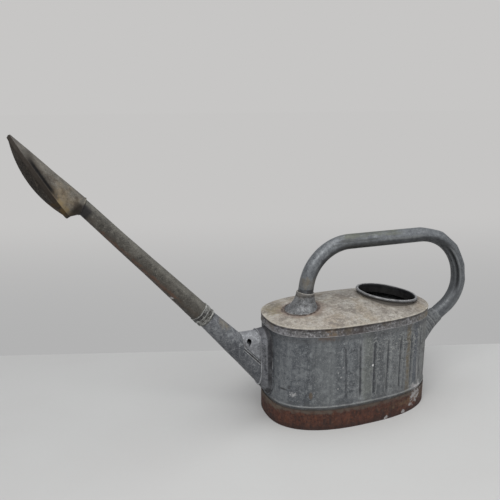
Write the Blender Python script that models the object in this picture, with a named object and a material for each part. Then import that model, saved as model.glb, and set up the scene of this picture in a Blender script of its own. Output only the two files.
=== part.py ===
"""A zinc watering can: oval fluted body, long spout with an oval rose, bent tube handle.

Metres, +Z up. The spout points to -X and the handle's rear bend to +X. The origin
is the middle of the whole can's outline on the floor.
"""
import math

import bmesh
import bpy
from mathutils import Vector

# Sheet and clearances
SHEET = 0.0010
GAP = 0.0003

# Oval side wall, measured over its outer face
WALL_LENGTH = 0.3074
WALL_FOOT_DEPTH = 0.1852
WALL_RIM_DEPTH = 0.1748
FOOT_SQUARENESS = 2.50
RIM_SQUARENESS = 2.68
BODY_HEIGHT = 0.1824

# Upright creases pressed into the wall
CREASE_PITCH = 0.0271
CREASE_WIDTH = 0.0072
CREASE_DEPTH = 0.0022
CREASE_START = 0.0085
CREASE_ABOVE_BEAD = 0.0147
CREASE_BELOW_SKIRT = 0.0258
CREASE_FADE = 0.0090

# Bead rolled into the wall above the foot band
BEAD_ABOVE_BAND = 0.0048
BEAD_WIDTH = 0.0046
BEAD_RISE = 0.0014

# Foot band with a folded hem, and the recessed bottom
FOOT_HEIGHT = 0.0365
FOOT_SHEET = 0.0012
HEM_HEIGHT = 0.0035
HEM_FOLD = 0.0014
BOTTOM_HEIGHT = 0.0160
BOTTOM_FLANGE = 0.0100

# Domed top plate
SKIRT_DEPTH = 0.0156
EDGE_BEVEL = 0.0009
DOME_RISE = 0.0171
DOME_CREST_X = 0.0290
DOME_CURVE = 1.5

# Filler mouth, tilted down to the rear
FILLER_RADIUS = 0.0507
FILLER_SETBACK = 0.0690
FILLER_LIFT = 0.0151
FILLER_TILT = math.radians(7.8)
FILLER_COLLAR = 0.0140
ROLL_RADIUS = 0.0027
ROLL_SWEEP = math.radians(290.0)

# Spout: a cone from the wall, then a slimmer pipe
SPOUT_ANGLE = math.radians(47.5)
CONE_ABOVE_BEAD = 0.0037
CONE_TIP_DIAMETER = 0.0278
CONE_LENGTH = 0.1800
SPOUT_LENGTH = 0.4288
PIPE_OVERLAP = 0.0170
PIPE_BELL = 0.0260
PIPE_END_DIAMETER = 0.0226
PIPE_TAPER = 1.5
SOLDER_LENGTH = 0.0065
INLET_INSET = 0.0050

# Hollow brace in the corner over the cone, and the collar round both roots
SADDLE_BELOW_SKIRT = 0.0053
SADDLE_HEIGHT = 0.0455
SADDLE_INSET = 0.0013
VENT_RADIUS = 0.0042
VENT_REACH = 0.0374
VENT_DROP = 0.0110
VENT_POINT = 0.0085
VENT_SHOULDER = math.radians(20.0)
ROOT_DEPTH = 0.0180
ROOT_SHEET = 0.0008
ROOT_FLARE = 0.0022

# Oval rose
ROSE_SHEET = 0.0008
ROSE_LENGTH = 0.1363
ROSE_WIDTH = 0.0800
ROSE_EGG = 0.16
ROSE_FACE_ANGLE = math.radians(12.2)
ROSE_TIP = 0.1319
ROSE_TIP_RISE = 0.0015
ROSE_LIP = 0.0060
ROSE_CUT = 0.0089
ROSE_DOME = 0.0135
ROSE_SEAT = 0.0012
ROSE_HOLE_RADIUS = 0.0012
ROSE_HOLE_PITCH = 0.0150
ROSE_HOLE_SPACING = 0.0245
ROSE_HOLE_SIDES = 6
PIPE_ENTRY = 0.0050

# Bent tube handle
TUBE_DIAMETER = 0.0266
TUBE_WALL = 0.0012
HANDLE_RISE = 0.1194
FRONT_BEND = 0.0830
REAR_BEND = 0.0950
LOWER_BEND = 0.0650
FRONT_LEAN = math.radians(7.5)
REAR_REACH = 0.0920
LOWER_SLOPE = math.radians(35.0)
TUBE_SEAT = 0.0100

# Flared sockets that carry the handle
SOCKET_SETBACK = 0.0652
SOCKET_HEIGHT = 0.0280
SOCKET_SHIFT = 0.0084
SOCKET_BASE_RADIUS = 0.0310
SOCKET_NECK = 0.0200
SOCKET_LIP = 0.0022
REAR_SOCKET_LENGTH = 0.0550
REAR_SOCKET_NECK = 0.0300
REAR_BASE_WIDTH = 0.0310
REAR_BASE_HEIGHT = 0.0345

# Numbers of facets, and shares of the way at which curved faces have their rings
ROUND_SIDES = 32
TUBE_SIDES = 14
FILLER_SIDES = 40
ROSE_SIDES = 40
ROLL_STEPS = 7
VENT_STEPS = 8
ARCH_STEPS = 12
ARC_STEP = math.radians(11.5)
PLATE_SHARES = (0.12, 0.40, 0.72)
PIPE_SHARES = (0.15, 0.35, 0.60, 0.80, 1.0)
FLARE_SHARES = (0.14, 0.32, 0.60)
ROSE_SHARES = (0.78, 0.52, 0.26)

# How far cutters, and the search for where a line meets a face, run past the wall
CUT_RUN = 0.0800

NOSE_X = -WALL_LENGTH / 2
REAR_X = WALL_LENGTH / 2
BEAD_HEIGHT = FOOT_HEIGHT + BEAD_ABOVE_BAND
SKIRT_LOW = BODY_HEIGHT - SKIRT_DEPTH
CREASE_LOW = BEAD_HEIGHT + CREASE_ABOVE_BEAD
CREASE_HIGH = SKIRT_LOW - CREASE_BELOW_SKIRT
SADDLE_TOP = SKIRT_LOW - SADDLE_BELOW_SKIRT

# The cone's root fills the wall between the bead and the brace
CONE_LOW = BEAD_HEIGHT + CONE_ABOVE_BEAD
CONE_HIGH = SADDLE_TOP - SADDLE_HEIGHT
SPOUT_HEIGHT = (CONE_LOW + CONE_HIGH) / 2
CONE_ROOT_DIAMETER = (CONE_HIGH - CONE_LOW) * math.cos(SPOUT_ANGLE)
INLET_DIAMETER = CONE_ROOT_DIAMETER - 2 * INLET_INSET

ZINC = (0.235, 0.262, 0.280)
PALE_ZINC = (0.430, 0.425, 0.395)
DARK_ZINC = (0.130, 0.135, 0.135)
OLIVE_ZINC = (0.165, 0.165, 0.150)
SOLDER = (0.300, 0.300, 0.290)
RUST = (0.105, 0.050, 0.032)


def remove_everything():
    for item in list(bpy.data.objects):
        bpy.data.objects.remove(item, do_unlink=True)


def make_material(name, colour, roughness, metallic):
    material = bpy.data.materials.new(name)
    material.use_nodes = True
    shader = material.node_tree.nodes["Principled BSDF"]
    shader.inputs["Base Color"].default_value = (*colour, 1.0)
    shader.inputs["Roughness"].default_value = roughness
    shader.inputs["Metallic"].default_value = metallic
    return material


def make_empty(name, parent=None, location=(0.0, 0.0, 0.0), tilt=0.0):
    empty = bpy.data.objects.new(name, None)
    bpy.context.scene.collection.objects.link(empty)
    empty.parent = parent
    empty.location = location
    empty.rotation_euler = (0.0, tilt, 0.0)
    return empty


def make_piece(name, geometry, parent, colour, roughness=0.55, metallic=0.6):
    """One closed sub-part with its own material, faces pointing out."""
    points, faces = geometry
    mesh = bpy.data.meshes.new(name)
    mesh.from_pydata([tuple(point) for point in points], [], faces)
    work = bmesh.new()
    work.from_mesh(mesh)
    bmesh.ops.recalc_face_normals(work, faces=work.faces)
    work.to_mesh(mesh)
    work.free()
    mesh.shade_smooth()
    mesh.set_sharp_from_angle(angle=math.radians(30.0))
    mesh.materials.append(make_material(name, colour, roughness, metallic))
    piece = bpy.data.objects.new(name, mesh)
    bpy.context.scene.collection.objects.link(piece)
    piece.parent = parent
    return piece


def cut(piece, name, geometry):
    """Takes a wire-drawn cutter's volume away from a piece."""
    cutter = make_piece(name, geometry, piece.parent, DARK_ZINC)
    cutter.location = piece.location
    cutter.rotation_euler = piece.rotation_euler
    cutter.hide_render = True
    cutter.display_type = "WIRE"
    boolean = piece.modifiers.new(name, "BOOLEAN")
    boolean.operation = "DIFFERENCE"
    boolean.solver = "EXACT"
    boolean.object = cutter


def band_faces(first, second, count):
    """Quads between two rings that start at the given vertex numbers."""
    quads = []
    for k in range(count):
        after = (k + 1) % count
        quads.append((first + k, first + after, second + after, second + k))
    return quads


def closed_shell(rings):
    """A wall whose section is a closed loop: each ring joins the next, the last the first."""
    count = len(rings[0])
    points = [point for ring in rings for point in ring]
    faces = []
    for index in range(len(rings)):
        following = (index + 1) % len(rings)
        faces += band_faces(index * count, following * count, count)
    return points, faces


def capped_stack(rings):
    """A solid through a stack of rings, with a flat cap at each end."""
    count = len(rings[0])
    points = [point for ring in rings for point in ring]
    faces = []
    for index in range(len(rings) - 1):
        faces += band_faces(index * count, (index + 1) * count, count)
    last = (len(rings) - 1) * count
    faces.append(tuple(range(count - 1, -1, -1)))
    faces.append(tuple(range(last, last + count)))
    return points, faces


def turned(profile, sides):
    """Rings of (radius, height) pairs about the local Z axis."""
    rings = []
    for radius, height in profile:
        ring = []
        for k in range(sides):
            angle = 2 * math.pi * k / sides
            ring.append(Vector((radius * math.cos(angle), radius * math.sin(angle), height)))
        rings.append(ring)
    return rings


def bisect(reaches, low, high):
    """The value between low and high where reaches(value) turns from False to True."""
    for _ in range(40):
        middle = (low + high) / 2
        if reaches(middle):
            high = middle
        else:
            low = middle
    return (low + high) / 2


def signed_power(value, power):
    return math.copysign(abs(value) ** power, value)


def oval_shape(height):
    """Half length, half depth and squareness of the wall's outer face at a height."""
    share = height / BODY_HEIGHT
    half_depth = (WALL_FOOT_DEPTH + (WALL_RIM_DEPTH - WALL_FOOT_DEPTH) * share) / 2
    squareness = FOOT_SQUARENESS + (RIM_SQUARENESS - FOOT_SQUARENESS) * share
    return WALL_LENGTH / 2, half_depth, squareness


def oval_point(turn, height, offset=0.0):
    half_length, half_depth, squareness = oval_shape(height)
    x = (half_length + offset) * signed_power(math.cos(turn), 2 / squareness)
    y = (half_depth + offset) * signed_power(math.sin(turn), 2 / squareness)
    return Vector((x, y, height))


COLUMNS_PER_CREASE = 3


def crease_turns():
    """Turns of the crease lines and of the shoulders beside them, evenly along the wall."""
    middle = BODY_HEIGHT / 2
    steps = 1440
    turns = [-math.pi / 2 + 2 * math.pi * k / steps for k in range(steps + 1)]
    points = [oval_point(turn, middle) for turn in turns]
    reach = [0.0]
    for before, after in zip(points, points[1:]):
        reach.append(reach[-1] + (after - before).length)
    around = reach[-1]
    count = round(around / CREASE_PITCH)
    pitch = around / count
    shoulder = CREASE_WIDTH / 2
    found = []
    for index in range(count):
        for shift in (0.0, shoulder, pitch - shoulder):
            wanted = (CREASE_START + index * pitch + shift) % around
            place = next(k for k in range(steps) if reach[k + 1] >= wanted)
            share = (wanted - reach[place]) / (reach[place + 1] - reach[place])
            found.append(turns[place] + share * (turns[place + 1] - turns[place]))
    return found


TURNS = crease_turns()


def oval_ring(height, offset=0.0, crease=0.0):
    """One ring of the oval; crease is how deep the crease lines lie at this height."""
    ring = []
    for k, turn in enumerate(TURNS):
        depth = crease if k % COLUMNS_PER_CREASE == 0 else 0.0
        ring.append(oval_point(turn, height, offset - depth))
    return ring


def bead_offset(height):
    away = abs(height - BEAD_HEIGHT) / (BEAD_WIDTH / 2)
    return BEAD_RISE * max(0.0, 1.0 - away)


def wall_reach(y, height, clearance=GAP):
    """How far from the middle plane X = 0 a point beside the wall's end lies."""
    half_length, half_depth, squareness = oval_shape(height)
    grow = bead_offset(height) + clearance
    share = min(1.0, abs(y) / (half_depth + grow))
    return (half_length + grow) * (1.0 - share ** squareness) ** (1 / squareness)


def make_side_wall(can):
    foot = HEM_HEIGHT + GAP
    top = BODY_HEIGHT - SHEET - GAP
    half_bead = BEAD_WIDTH / 2
    rows = [
        (foot, 0.0, 0.0),
        (BEAD_HEIGHT - half_bead, 0.0, 0.0),
        (BEAD_HEIGHT, BEAD_RISE, 0.0),
        (BEAD_HEIGHT + half_bead, 0.0, 0.0),
        (CREASE_LOW, 0.0, CREASE_DEPTH),
        (CREASE_HIGH, 0.0, CREASE_DEPTH),
        (CREASE_HIGH + CREASE_FADE, 0.0, 0.0),
        (top, 0.0, 0.0),
    ]
    outer = [oval_ring(height, rise, crease) for height, rise, crease in rows]
    inner = [oval_ring(height, rise - SHEET, crease) for height, rise, crease in rows]
    wall = make_piece("side_wall", closed_shell(outer + inner[::-1]), can, ZINC)
    cut(wall, "inlet_cutter", inlet_cutter())


def make_foot_band(can):
    inside = GAP
    outside = GAP + FOOT_SHEET
    hem = inside - HEM_FOLD
    section = [
        (0.0, outside),
        (FOOT_HEIGHT, outside),
        (FOOT_HEIGHT, inside),
        (HEM_HEIGHT, inside),
        (HEM_HEIGHT, hem),
        (0.0, hem),
    ]
    rings = [oval_ring(height, offset) for height, offset in section]
    make_piece("foot_band", closed_shell(rings), can, RUST, 0.85, 0.1)


def make_bottom_plate(can):
    outside = -SHEET - GAP
    inside = outside - SHEET
    low = BOTTOM_HEIGHT - BOTTOM_FLANGE
    section = [
        (BOTTOM_HEIGHT, outside),
        (low, outside),
        (low, inside),
        (BOTTOM_HEIGHT - SHEET, inside),
    ]
    rings = [oval_ring(height, offset) for height, offset in section]
    make_piece("bottom_plate", capped_stack(rings), can, ZINC)


def plate_height(x, y):
    """Height of the domed plate's upper face: a crest that falls to the oval edge."""
    edge = SHEET + GAP
    half_length, half_depth, squareness = oval_shape(BODY_HEIGHT)

    def past_edge(scale):
        along = abs(DOME_CREST_X + (x - DOME_CREST_X) * scale) / (half_length + edge)
        across = abs(y * scale) / (half_depth + edge)
        return along ** squareness + across ** squareness >= 1.0

    if abs(x - DOME_CREST_X) + abs(y) < SHEET:
        return BODY_HEIGHT + DOME_RISE
    share = min(1.0, 1.0 / bisect(past_edge, 0.5, 400.0))
    return BODY_HEIGHT + DOME_RISE * (1.0 - share ** DOME_CURVE)


FILLER_X = REAR_X - FILLER_SETBACK
FILLER_Z = BODY_HEIGHT + FILLER_LIFT


def filler_hole(drop):
    """The plate's hole: the tilted collar's cylinder, where it passes the plate's face."""
    radius = FILLER_RADIUS + SHEET + GAP
    across = Vector((math.cos(FILLER_TILT), 0.0, -math.sin(FILLER_TILT)))
    axis = Vector((math.sin(FILLER_TILT), 0.0, math.cos(FILLER_TILT)))
    ring = []
    for k in range(len(TURNS)):
        angle = -math.pi / 2 + 2 * math.pi * k / len(TURNS)
        start = Vector((FILLER_X, 0.0, FILLER_Z))
        start += across * radius * math.cos(angle)
        start += Vector((0.0, 1.0, 0.0)) * radius * math.sin(angle)

        def above_plate(distance):
            point = start + axis * distance
            return point.z >= plate_height(point.x, point.y) - drop

        ring.append(start + axis * bisect(above_plate, -FILLER_RADIUS, FILLER_RADIUS))
    return ring


def plate_ring(edge_ring, hole_ring, share, drop):
    ring = []
    for edge, hole in zip(edge_ring, hole_ring):
        point = edge.lerp(hole, share)
        point.z = plate_height(point.x, point.y) - drop
        ring.append(point)
    return ring


def make_top_plate(can):
    outside = SHEET + GAP
    inward = PLATE_SHARES
    outward = PLATE_SHARES[::-1]
    upper_edge = oval_ring(BODY_HEIGHT, outside - EDGE_BEVEL)
    under_edge = oval_ring(BODY_HEIGHT, GAP)
    upper_hole = filler_hole(0.0)
    under_hole = filler_hole(SHEET)
    rings = [oval_ring(SKIRT_LOW, GAP), oval_ring(SKIRT_LOW, outside)]
    rings.append(oval_ring(BODY_HEIGHT - EDGE_BEVEL, outside))
    rings.append(upper_edge)
    rings += [plate_ring(upper_edge, upper_hole, share, 0.0) for share in inward]
    rings += [upper_hole, under_hole]
    rings += [plate_ring(under_edge, under_hole, share, SHEET) for share in outward]
    rings.append(oval_ring(BODY_HEIGHT - SHEET, GAP))
    make_piece("top_plate", closed_shell(rings), can, PALE_ZINC, 0.6, 0.4)


def make_filler_collar(can):
    """A short tube through the plate whose upper edge is rolled outwards."""
    outer_radius = FILLER_RADIUS + SHEET
    centre = FILLER_RADIUS + ROLL_RADIUS
    roll = [math.pi - ROLL_SWEEP * k / ROLL_STEPS for k in range(ROLL_STEPS + 1)]
    face = [(centre + ROLL_RADIUS * math.cos(a), ROLL_RADIUS * math.sin(a)) for a in roll]
    hidden = ROLL_RADIUS - SHEET
    back = [(centre + hidden * math.cos(a), hidden * math.sin(a)) for a in roll]
    section = [(FILLER_RADIUS, -FILLER_COLLAR)] + face + back[::-1]
    section.append((outer_radius, -FILLER_COLLAR))
    rings = turned(section, FILLER_SIDES)
    collar = make_piece("filler_collar", closed_shell(rings), can, PALE_ZINC, 0.5, 0.5)
    collar.location = (FILLER_X, 0.0, FILLER_Z)
    collar.rotation_euler = (0.0, FILLER_TILT, 0.0)


SPOUT_ROOT = Vector((NOSE_X, 0.0, SPOUT_HEIGHT))
SPOUT_AXIS = Vector((-math.cos(SPOUT_ANGLE), 0.0, math.sin(SPOUT_ANGLE)))
SPOUT_UP = Vector((math.sin(SPOUT_ANGLE), 0.0, math.cos(SPOUT_ANGLE)))


def cone_radius(distance):
    """Outer radius of the cone at a distance along its axis from the wall."""
    share = distance / CONE_LENGTH
    return (CONE_ROOT_DIAMETER + (CONE_TIP_DIAMETER - CONE_ROOT_DIAMETER) * share) / 2


def cone_point(angle, distance, grow=0.0):
    radial = Vector((0.0, math.cos(angle), 0.0)) + SPOUT_UP * math.sin(angle)
    return SPOUT_ROOT + SPOUT_AXIS * distance + radial * (cone_radius(distance) + grow)


def cone_slice(angle, grow, stop_x):
    """Where the cone's line at an angle comes to the surface x = stop_x(point)."""

    def outside(distance):
        point = cone_point(angle, distance, grow)
        return point.x <= stop_x(point)

    return cone_point(angle, bisect(outside, -CUT_RUN, 2 * CUT_RUN), grow)


def at_wall(point):
    return -wall_reach(point.y, point.z)


def at_root_front(point):
    return NOSE_X - ROOT_DEPTH


def circle_angles(count):
    return [2 * math.pi * k / count for k in range(count)]


def make_spout_cone(can):
    angles = circle_angles(ROUND_SIDES)
    rings = [
        [cone_slice(angle, 0.0, at_wall) for angle in angles],
        [cone_point(angle, CONE_LENGTH) for angle in angles],
        [cone_point(angle, CONE_LENGTH, -SHEET) for angle in angles],
        [cone_slice(angle, -SHEET, at_wall) for angle in angles],
    ]
    make_piece("spout_cone", closed_shell(rings), can, ZINC)


def inlet_cutter():
    """A slanted plug that opens the wall inside the cone's root."""
    angles = circle_angles(ROUND_SIDES)
    rings = []
    for distance in (-INLET_DIAMETER, INLET_DIAMETER):
        grow = INLET_DIAMETER / 2 - cone_radius(distance)
        rings.append([cone_point(angle, distance, grow) for angle in angles])
    return capped_stack(rings)


def axis_height(x):
    """Height of the spout's axis where it passes a given X."""
    return SPOUT_HEIGHT + (NOSE_X - x) * math.tan(SPOUT_ANGLE)


def saddle_half_width(x):
    return cone_radius((NOSE_X - x) / math.cos(SPOUT_ANGLE)) - SADDLE_INSET


def arch(x, shrink, top):
    """An upturned U across the can: straight sides from the spout's axis, a round top."""
    half = saddle_half_width(x) - shrink
    centre = top - shrink - half
    foot = min(axis_height(x), centre - SHEET)
    line = [(half, foot)]
    for k in range(ARCH_STEPS + 1):
        angle = math.pi * k / ARCH_STEPS
        line.append((half * math.cos(angle), centre + half * math.sin(angle)))
    line.append((-half, foot))
    return line


def saddle_reach():
    """How far out the brace's springing meets the spout's axis, inside the cone."""

    def meets(reach):
        x = NOSE_X - reach
        return axis_height(x) >= SADDLE_TOP - saddle_half_width(x) - SHEET

    return bisect(meets, 0.0, CUT_RUN)


def make_saddle(can):
    front = NOSE_X - saddle_reach()
    rings = []
    for x in (NOSE_X, front):
        section = arch(x, 0.0, SADDLE_TOP) + arch(x, SHEET, SADDLE_TOP)[::-1]
        ring = []
        for y, z in section:
            place = -wall_reach(y, z) if x == NOSE_X else x
            ring.append(Vector((place, y, z)))
        rings.append(ring)
    saddle = make_piece("spout_saddle", capped_stack(rings), can, ZINC)
    angles = circle_angles(ROUND_SIDES)
    envelope = [[cone_point(a, d, GAP) for a in angles] for d in (-CUT_RUN, CONE_LENGTH)]
    cut(saddle, "saddle_cutter", capped_stack(envelope))
    cut(saddle, "vent_cutter", vent_cutter())


def vent_cutter():
    """A drop-shaped plug through the near side of the saddle, its point downwards."""
    x = NOSE_X - VENT_REACH
    z = SADDLE_TOP - VENT_DROP
    outline = [(0.0, -VENT_POINT)]
    sweep = math.pi + 2 * VENT_SHOULDER
    for k in range(VENT_STEPS + 1):
        angle = sweep * k / VENT_STEPS - VENT_SHOULDER
        outline.append((VENT_RADIUS * math.cos(angle), VENT_RADIUS * math.sin(angle)))
    half = saddle_half_width(x)
    rings = []
    for y in (-half - VENT_RADIUS, -half / 2):
        rings.append([Vector((x + dx, y, z + dz)) for dx, dz in outline])
    return capped_stack(rings)


def root_ring(stop_x, grow, top):
    """Outline round both roots: the cone's underside, then up over the saddle."""
    ring = []
    for k in range(ARCH_STEPS + 1):
        angle = -math.pi * k / ARCH_STEPS
        ring.append(cone_slice(angle, grow, stop_x))
    x = stop_x(Vector((NOSE_X, 0.0, SADDLE_TOP)))
    half = saddle_half_width(x) + grow
    for k in range(ARCH_STEPS + 1):
        angle = math.pi * (1.0 - k / ARCH_STEPS)
        y = half * math.cos(angle)
        z = top + grow - half + half * math.sin(angle)
        ring.append(Vector((stop_x(Vector((x, y, z))), y, z)))
    return ring


def make_root_collar(can):
    outside = GAP + ROOT_SHEET
    wall_top = SADDLE_TOP + ROOT_FLARE
    rings = [
        root_ring(at_wall, outside, wall_top),
        root_ring(at_root_front, outside, SADDLE_TOP),
        root_ring(at_root_front, GAP, SADDLE_TOP),
        root_ring(at_wall, GAP, wall_top),
    ]
    make_piece("spout_root_collar", closed_shell(rings), can, DARK_ZINC)


PIPE_START = CONE_LENGTH - PIPE_OVERLAP
PIPE_BELL_RADIUS = cone_radius(PIPE_START) + GAP + SHEET


def pipe_radius(distance):
    """Outer radius of the pipe: a straight bell over the cone's tip, then a hollow taper."""
    end_radius = PIPE_END_DIAMETER / 2
    bell_end = PIPE_START + PIPE_BELL
    share = max(0.0, (distance - bell_end) / (SPOUT_LENGTH + PIPE_ENTRY - bell_end))
    return end_radius + (PIPE_BELL_RADIUS - end_radius) * (1.0 - share) ** PIPE_TAPER


def make_spout_pipe(spout):
    end = SPOUT_LENGTH + PIPE_ENTRY
    bell_end = PIPE_START + PIPE_BELL
    stations = [PIPE_START, bell_end]
    stations += [bell_end + (end - bell_end) * share for share in PIPE_SHARES]
    outer = [(pipe_radius(s), s) for s in stations]
    inner = [(pipe_radius(s) - SHEET, s) for s in stations]
    rings = turned(outer + inner[::-1], ROUND_SIDES)
    make_piece("spout_pipe", closed_shell(rings), spout, OLIVE_ZINC)


def make_solder_ring(spout):
    """The fillet of solder that fills the step between the pipe's end and the cone."""
    high = PIPE_START - GAP
    low = high - SOLDER_LENGTH
    section = [
        (cone_radius(low) + GAP, low),
        (cone_radius(low) + SHEET, low),
        (PIPE_BELL_RADIUS, high - SHEET),
        (PIPE_BELL_RADIUS - SHEET / 2, high),
        (cone_radius(high) + GAP, high),
    ]
    rings = turned(section, ROUND_SIDES)
    make_piece("spout_solder_ring", closed_shell(rings), spout, SOLDER, 0.6, 0.5)


ROSE_ALONG = Vector((math.sin(ROSE_FACE_ANGLE), 0.0, math.cos(ROSE_FACE_ANGLE)))
ROSE_IN = Vector((math.cos(ROSE_FACE_ANGLE), 0.0, -math.sin(ROSE_FACE_ANGLE)))
ROSE_CENTRE = (
    Vector((ROSE_TIP_RISE, 0.0, SPOUT_LENGTH + ROSE_TIP)) - ROSE_ALONG * (ROSE_LENGTH / 2)
)


def rose_point(angle, scale, lift):
    """A point of the egg-shaped face: angle 0 is its tip, lift is towards the pipe."""
    along = ROSE_LENGTH / 2 * math.cos(angle) * scale
    across = ROSE_WIDTH / 2 * math.sin(angle) * (1.0 - ROSE_EGG * math.cos(angle)) * scale
    return ROSE_CENTRE + ROSE_ALONG * along + Vector((0.0, across, 0.0)) + ROSE_IN * lift


def rose_rim(inset, lift):
    scale = 1.0 - inset / (ROSE_WIDTH / 2)
    return [rose_point(angle, scale, lift) for angle in circle_angles(ROSE_SIDES)]


def rose_neck(radius):
    """The slanted ring where the hood leaves the pipe."""
    ring = []
    for angle in circle_angles(ROSE_SIDES):
        x = radius * math.cos(angle)
        slant = ROSE_CUT * (1.0 - math.cos(angle)) / 2
        ring.append(Vector((x, radius * math.sin(angle), SPOUT_LENGTH - slant)))
    return ring


def make_rose_hood(spout):
    inner_neck = pipe_radius(SPOUT_LENGTH) + GAP
    rings = [
        rose_neck(inner_neck + ROSE_SHEET),
        rose_rim(0.0, ROSE_LIP),
        rose_rim(0.0, 0.0),
        rose_rim(ROSE_SHEET, 0.0),
        rose_rim(ROSE_SHEET, ROSE_LIP - ROSE_SHEET / 2),
        rose_neck(inner_neck),
    ]
    make_piece("rose_hood", closed_shell(rings), spout, OLIVE_ZINC)


ROSE_PLATE_SCALE = 1.0 - (ROSE_SHEET + GAP) / (ROSE_WIDTH / 2)


def dome_lift(scale):
    """The plate bulges away from the hood; its edge sits a little inside the lip."""
    share = (scale / ROSE_PLATE_SCALE) ** 2
    return ROSE_SEAT - (ROSE_DOME + ROSE_SEAT) * (1.0 - share)


def make_rose_plate(spout):
    """The domed face that closes the hood, with rings of small holes."""
    scales = (ROSE_PLATE_SCALE, *ROSE_SHARES)
    angles = circle_angles(ROSE_SIDES)
    outer = [[rose_point(a, s, dome_lift(s)) for a in angles] for s in scales]
    inner = [[rose_point(a, s, dome_lift(s) + ROSE_SHEET) for a in angles] for s in scales]
    rings = inner[::-1] + outer
    plate = make_piece("rose_plate", capped_stack(rings), spout, DARK_ZINC, 0.6, 0.5)
    cut(plate, "rose_cutter", rose_holes())


def rose_holes():
    """Small plugs in rings that follow the egg-shaped edge, the same on both sides of it."""
    points = []
    faces = []
    sides = ROSE_HOLE_SIDES
    reach = 2 * ROSE_HOLE_RADIUS + 2 * ROSE_SHEET
    ring_total = int((ROSE_LENGTH / 2 - ROSE_HOLE_PITCH / 2) / ROSE_HOLE_PITCH)
    places = [(0.0, 0.0)]
    for ring in range(1, ring_total + 1):
        scale = ring * ROSE_HOLE_PITCH / (ROSE_LENGTH / 2)
        around = math.pi * (ROSE_LENGTH + ROSE_WIDTH) / 2 * scale
        count = 2 * max(1, round(around / ROSE_HOLE_SPACING / 2))
        places += [(2 * math.pi * k / count, scale) for k in range(count)]
    for angle, scale in places:
        centre = rose_point(angle, scale, dome_lift(scale))
        start = len(points)
        for lift in (-reach, reach):
            for k in range(sides):
                turn = 2 * math.pi * k / sides
                point = centre + ROSE_IN * lift
                point += ROSE_ALONG * ROSE_HOLE_RADIUS * math.cos(turn)
                point += Vector((0.0, ROSE_HOLE_RADIUS * math.sin(turn), 0.0))
                points.append(point)
        faces += band_faces(start, start + sides, sides)
        faces.append(tuple(range(start + sides - 1, start - 1, -1)))
        faces.append(tuple(range(start + sides, start + 2 * sides)))
    return points, faces


def bend(path, radius, angle):
    """Adds a round bend, to the right when radius is positive, to (place, heading) pairs."""
    place, heading = path[-1]
    steps = max(2, round(abs(angle) / ARC_STEP))
    middle = place + Vector((math.cos(heading), 0.0, -math.sin(heading))) * radius
    for k in range(1, steps + 1):
        turned_to = heading + angle * k / steps
        offset = Vector((math.cos(turned_to), 0.0, -math.sin(turned_to))) * radius
        path.append((middle - offset, turned_to))


def forward(path, length):
    """Adds a straight stretch; heading 0 is up and a quarter turn points to +X."""
    place, heading = path[-1]
    step = Vector((math.sin(heading), 0.0, math.cos(heading))) * length
    path.append((place + step, heading))


SOCKET_X = NOSE_X + SOCKET_SETBACK


def handle_entry():
    """Place where the tube leaves the front socket's lip."""
    return Vector((SOCKET_X + SOCKET_SHIFT, 0.0, plate_height(SOCKET_X, 0.0) + SOCKET_HEIGHT))


def handle_path():
    """Centre line of the tube from inside the front socket to inside the rear one."""
    bar_height = BODY_HEIGHT + HANDLE_RISE
    start = handle_entry()
    rise = FRONT_BEND * (1.0 - math.sin(FRONT_LEAN))
    straight = (bar_height - rise - start.z) / math.cos(FRONT_LEAN)
    path = [(start - heading_vector(FRONT_LEAN) * TUBE_SEAT, FRONT_LEAN)]
    forward(path, TUBE_SEAT + straight)
    bend(path, FRONT_BEND, math.pi / 2 - FRONT_LEAN)
    bar = REAR_X + REAR_REACH - REAR_BEND - path[-1][0].x
    forward(path, bar)
    bend(path, REAR_BEND, math.pi / 2)
    bend(path, LOWER_BEND, math.pi / 2 - LOWER_SLOPE)
    return path


def heading_vector(heading):
    return Vector((math.sin(heading), 0.0, math.cos(heading)))


def cross_ring(place, heading, radius, sides):
    """A circle square to the path's heading."""
    right = Vector((math.cos(heading), 0.0, -math.sin(heading)))
    ring = []
    for angle in circle_angles(sides):
        across = Vector((0.0, math.sin(angle), 0.0))
        ring.append(place + right * radius * math.cos(angle) + across * radius)
    return ring


def lower_run():
    """Start, direction and length of the tube's last straight, down to the rear wall."""
    place, heading = handle_path()[-1]
    length = (place.x - REAR_X - GAP) / -math.sin(heading)
    return place, heading, length


def make_handle_tube(can):
    path = handle_path()
    place, heading, length = lower_run()
    forward(path, length - REAR_SOCKET_LENGTH + TUBE_SEAT)
    radius = TUBE_DIAMETER / 2
    outer = [cross_ring(p, h, radius, TUBE_SIDES) for p, h in path]
    inner = [cross_ring(p, h, radius - TUBE_WALL, TUBE_SIDES) for p, h in path]
    make_piece("handle_tube", closed_shell(outer + inner[::-1]), can, ZINC)


def trumpet(base_ring, lip_ring, axis, neck):
    """Rings from a wide base to a lip: each line leaves the lip along the axis, then flares."""
    rings = [base_ring]
    for share in FLARE_SHARES:
        ring = []
        for base, lip in zip(base_ring, lip_ring):
            bent = lip - axis * neck
            near = base.lerp(bent, share)
            far = bent.lerp(lip, share)
            ring.append(near.lerp(far, share))
        rings.append(ring)
    rings.append(lip_ring)
    return rings


def make_socket(name, can, base, base_inner, lip_place, heading, neck):
    bore = TUBE_DIAMETER / 2 + GAP
    axis = heading_vector(heading)
    lip = cross_ring(lip_place, heading, bore + SOCKET_LIP, ROUND_SIDES)
    lip_inner = cross_ring(lip_place, heading, bore, ROUND_SIDES)
    outer = trumpet(base, lip, axis, neck)
    inner = trumpet(base_inner, lip_inner, axis, neck)
    make_piece(name, closed_shell(outer + inner[::-1]), can, ZINC)


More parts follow.
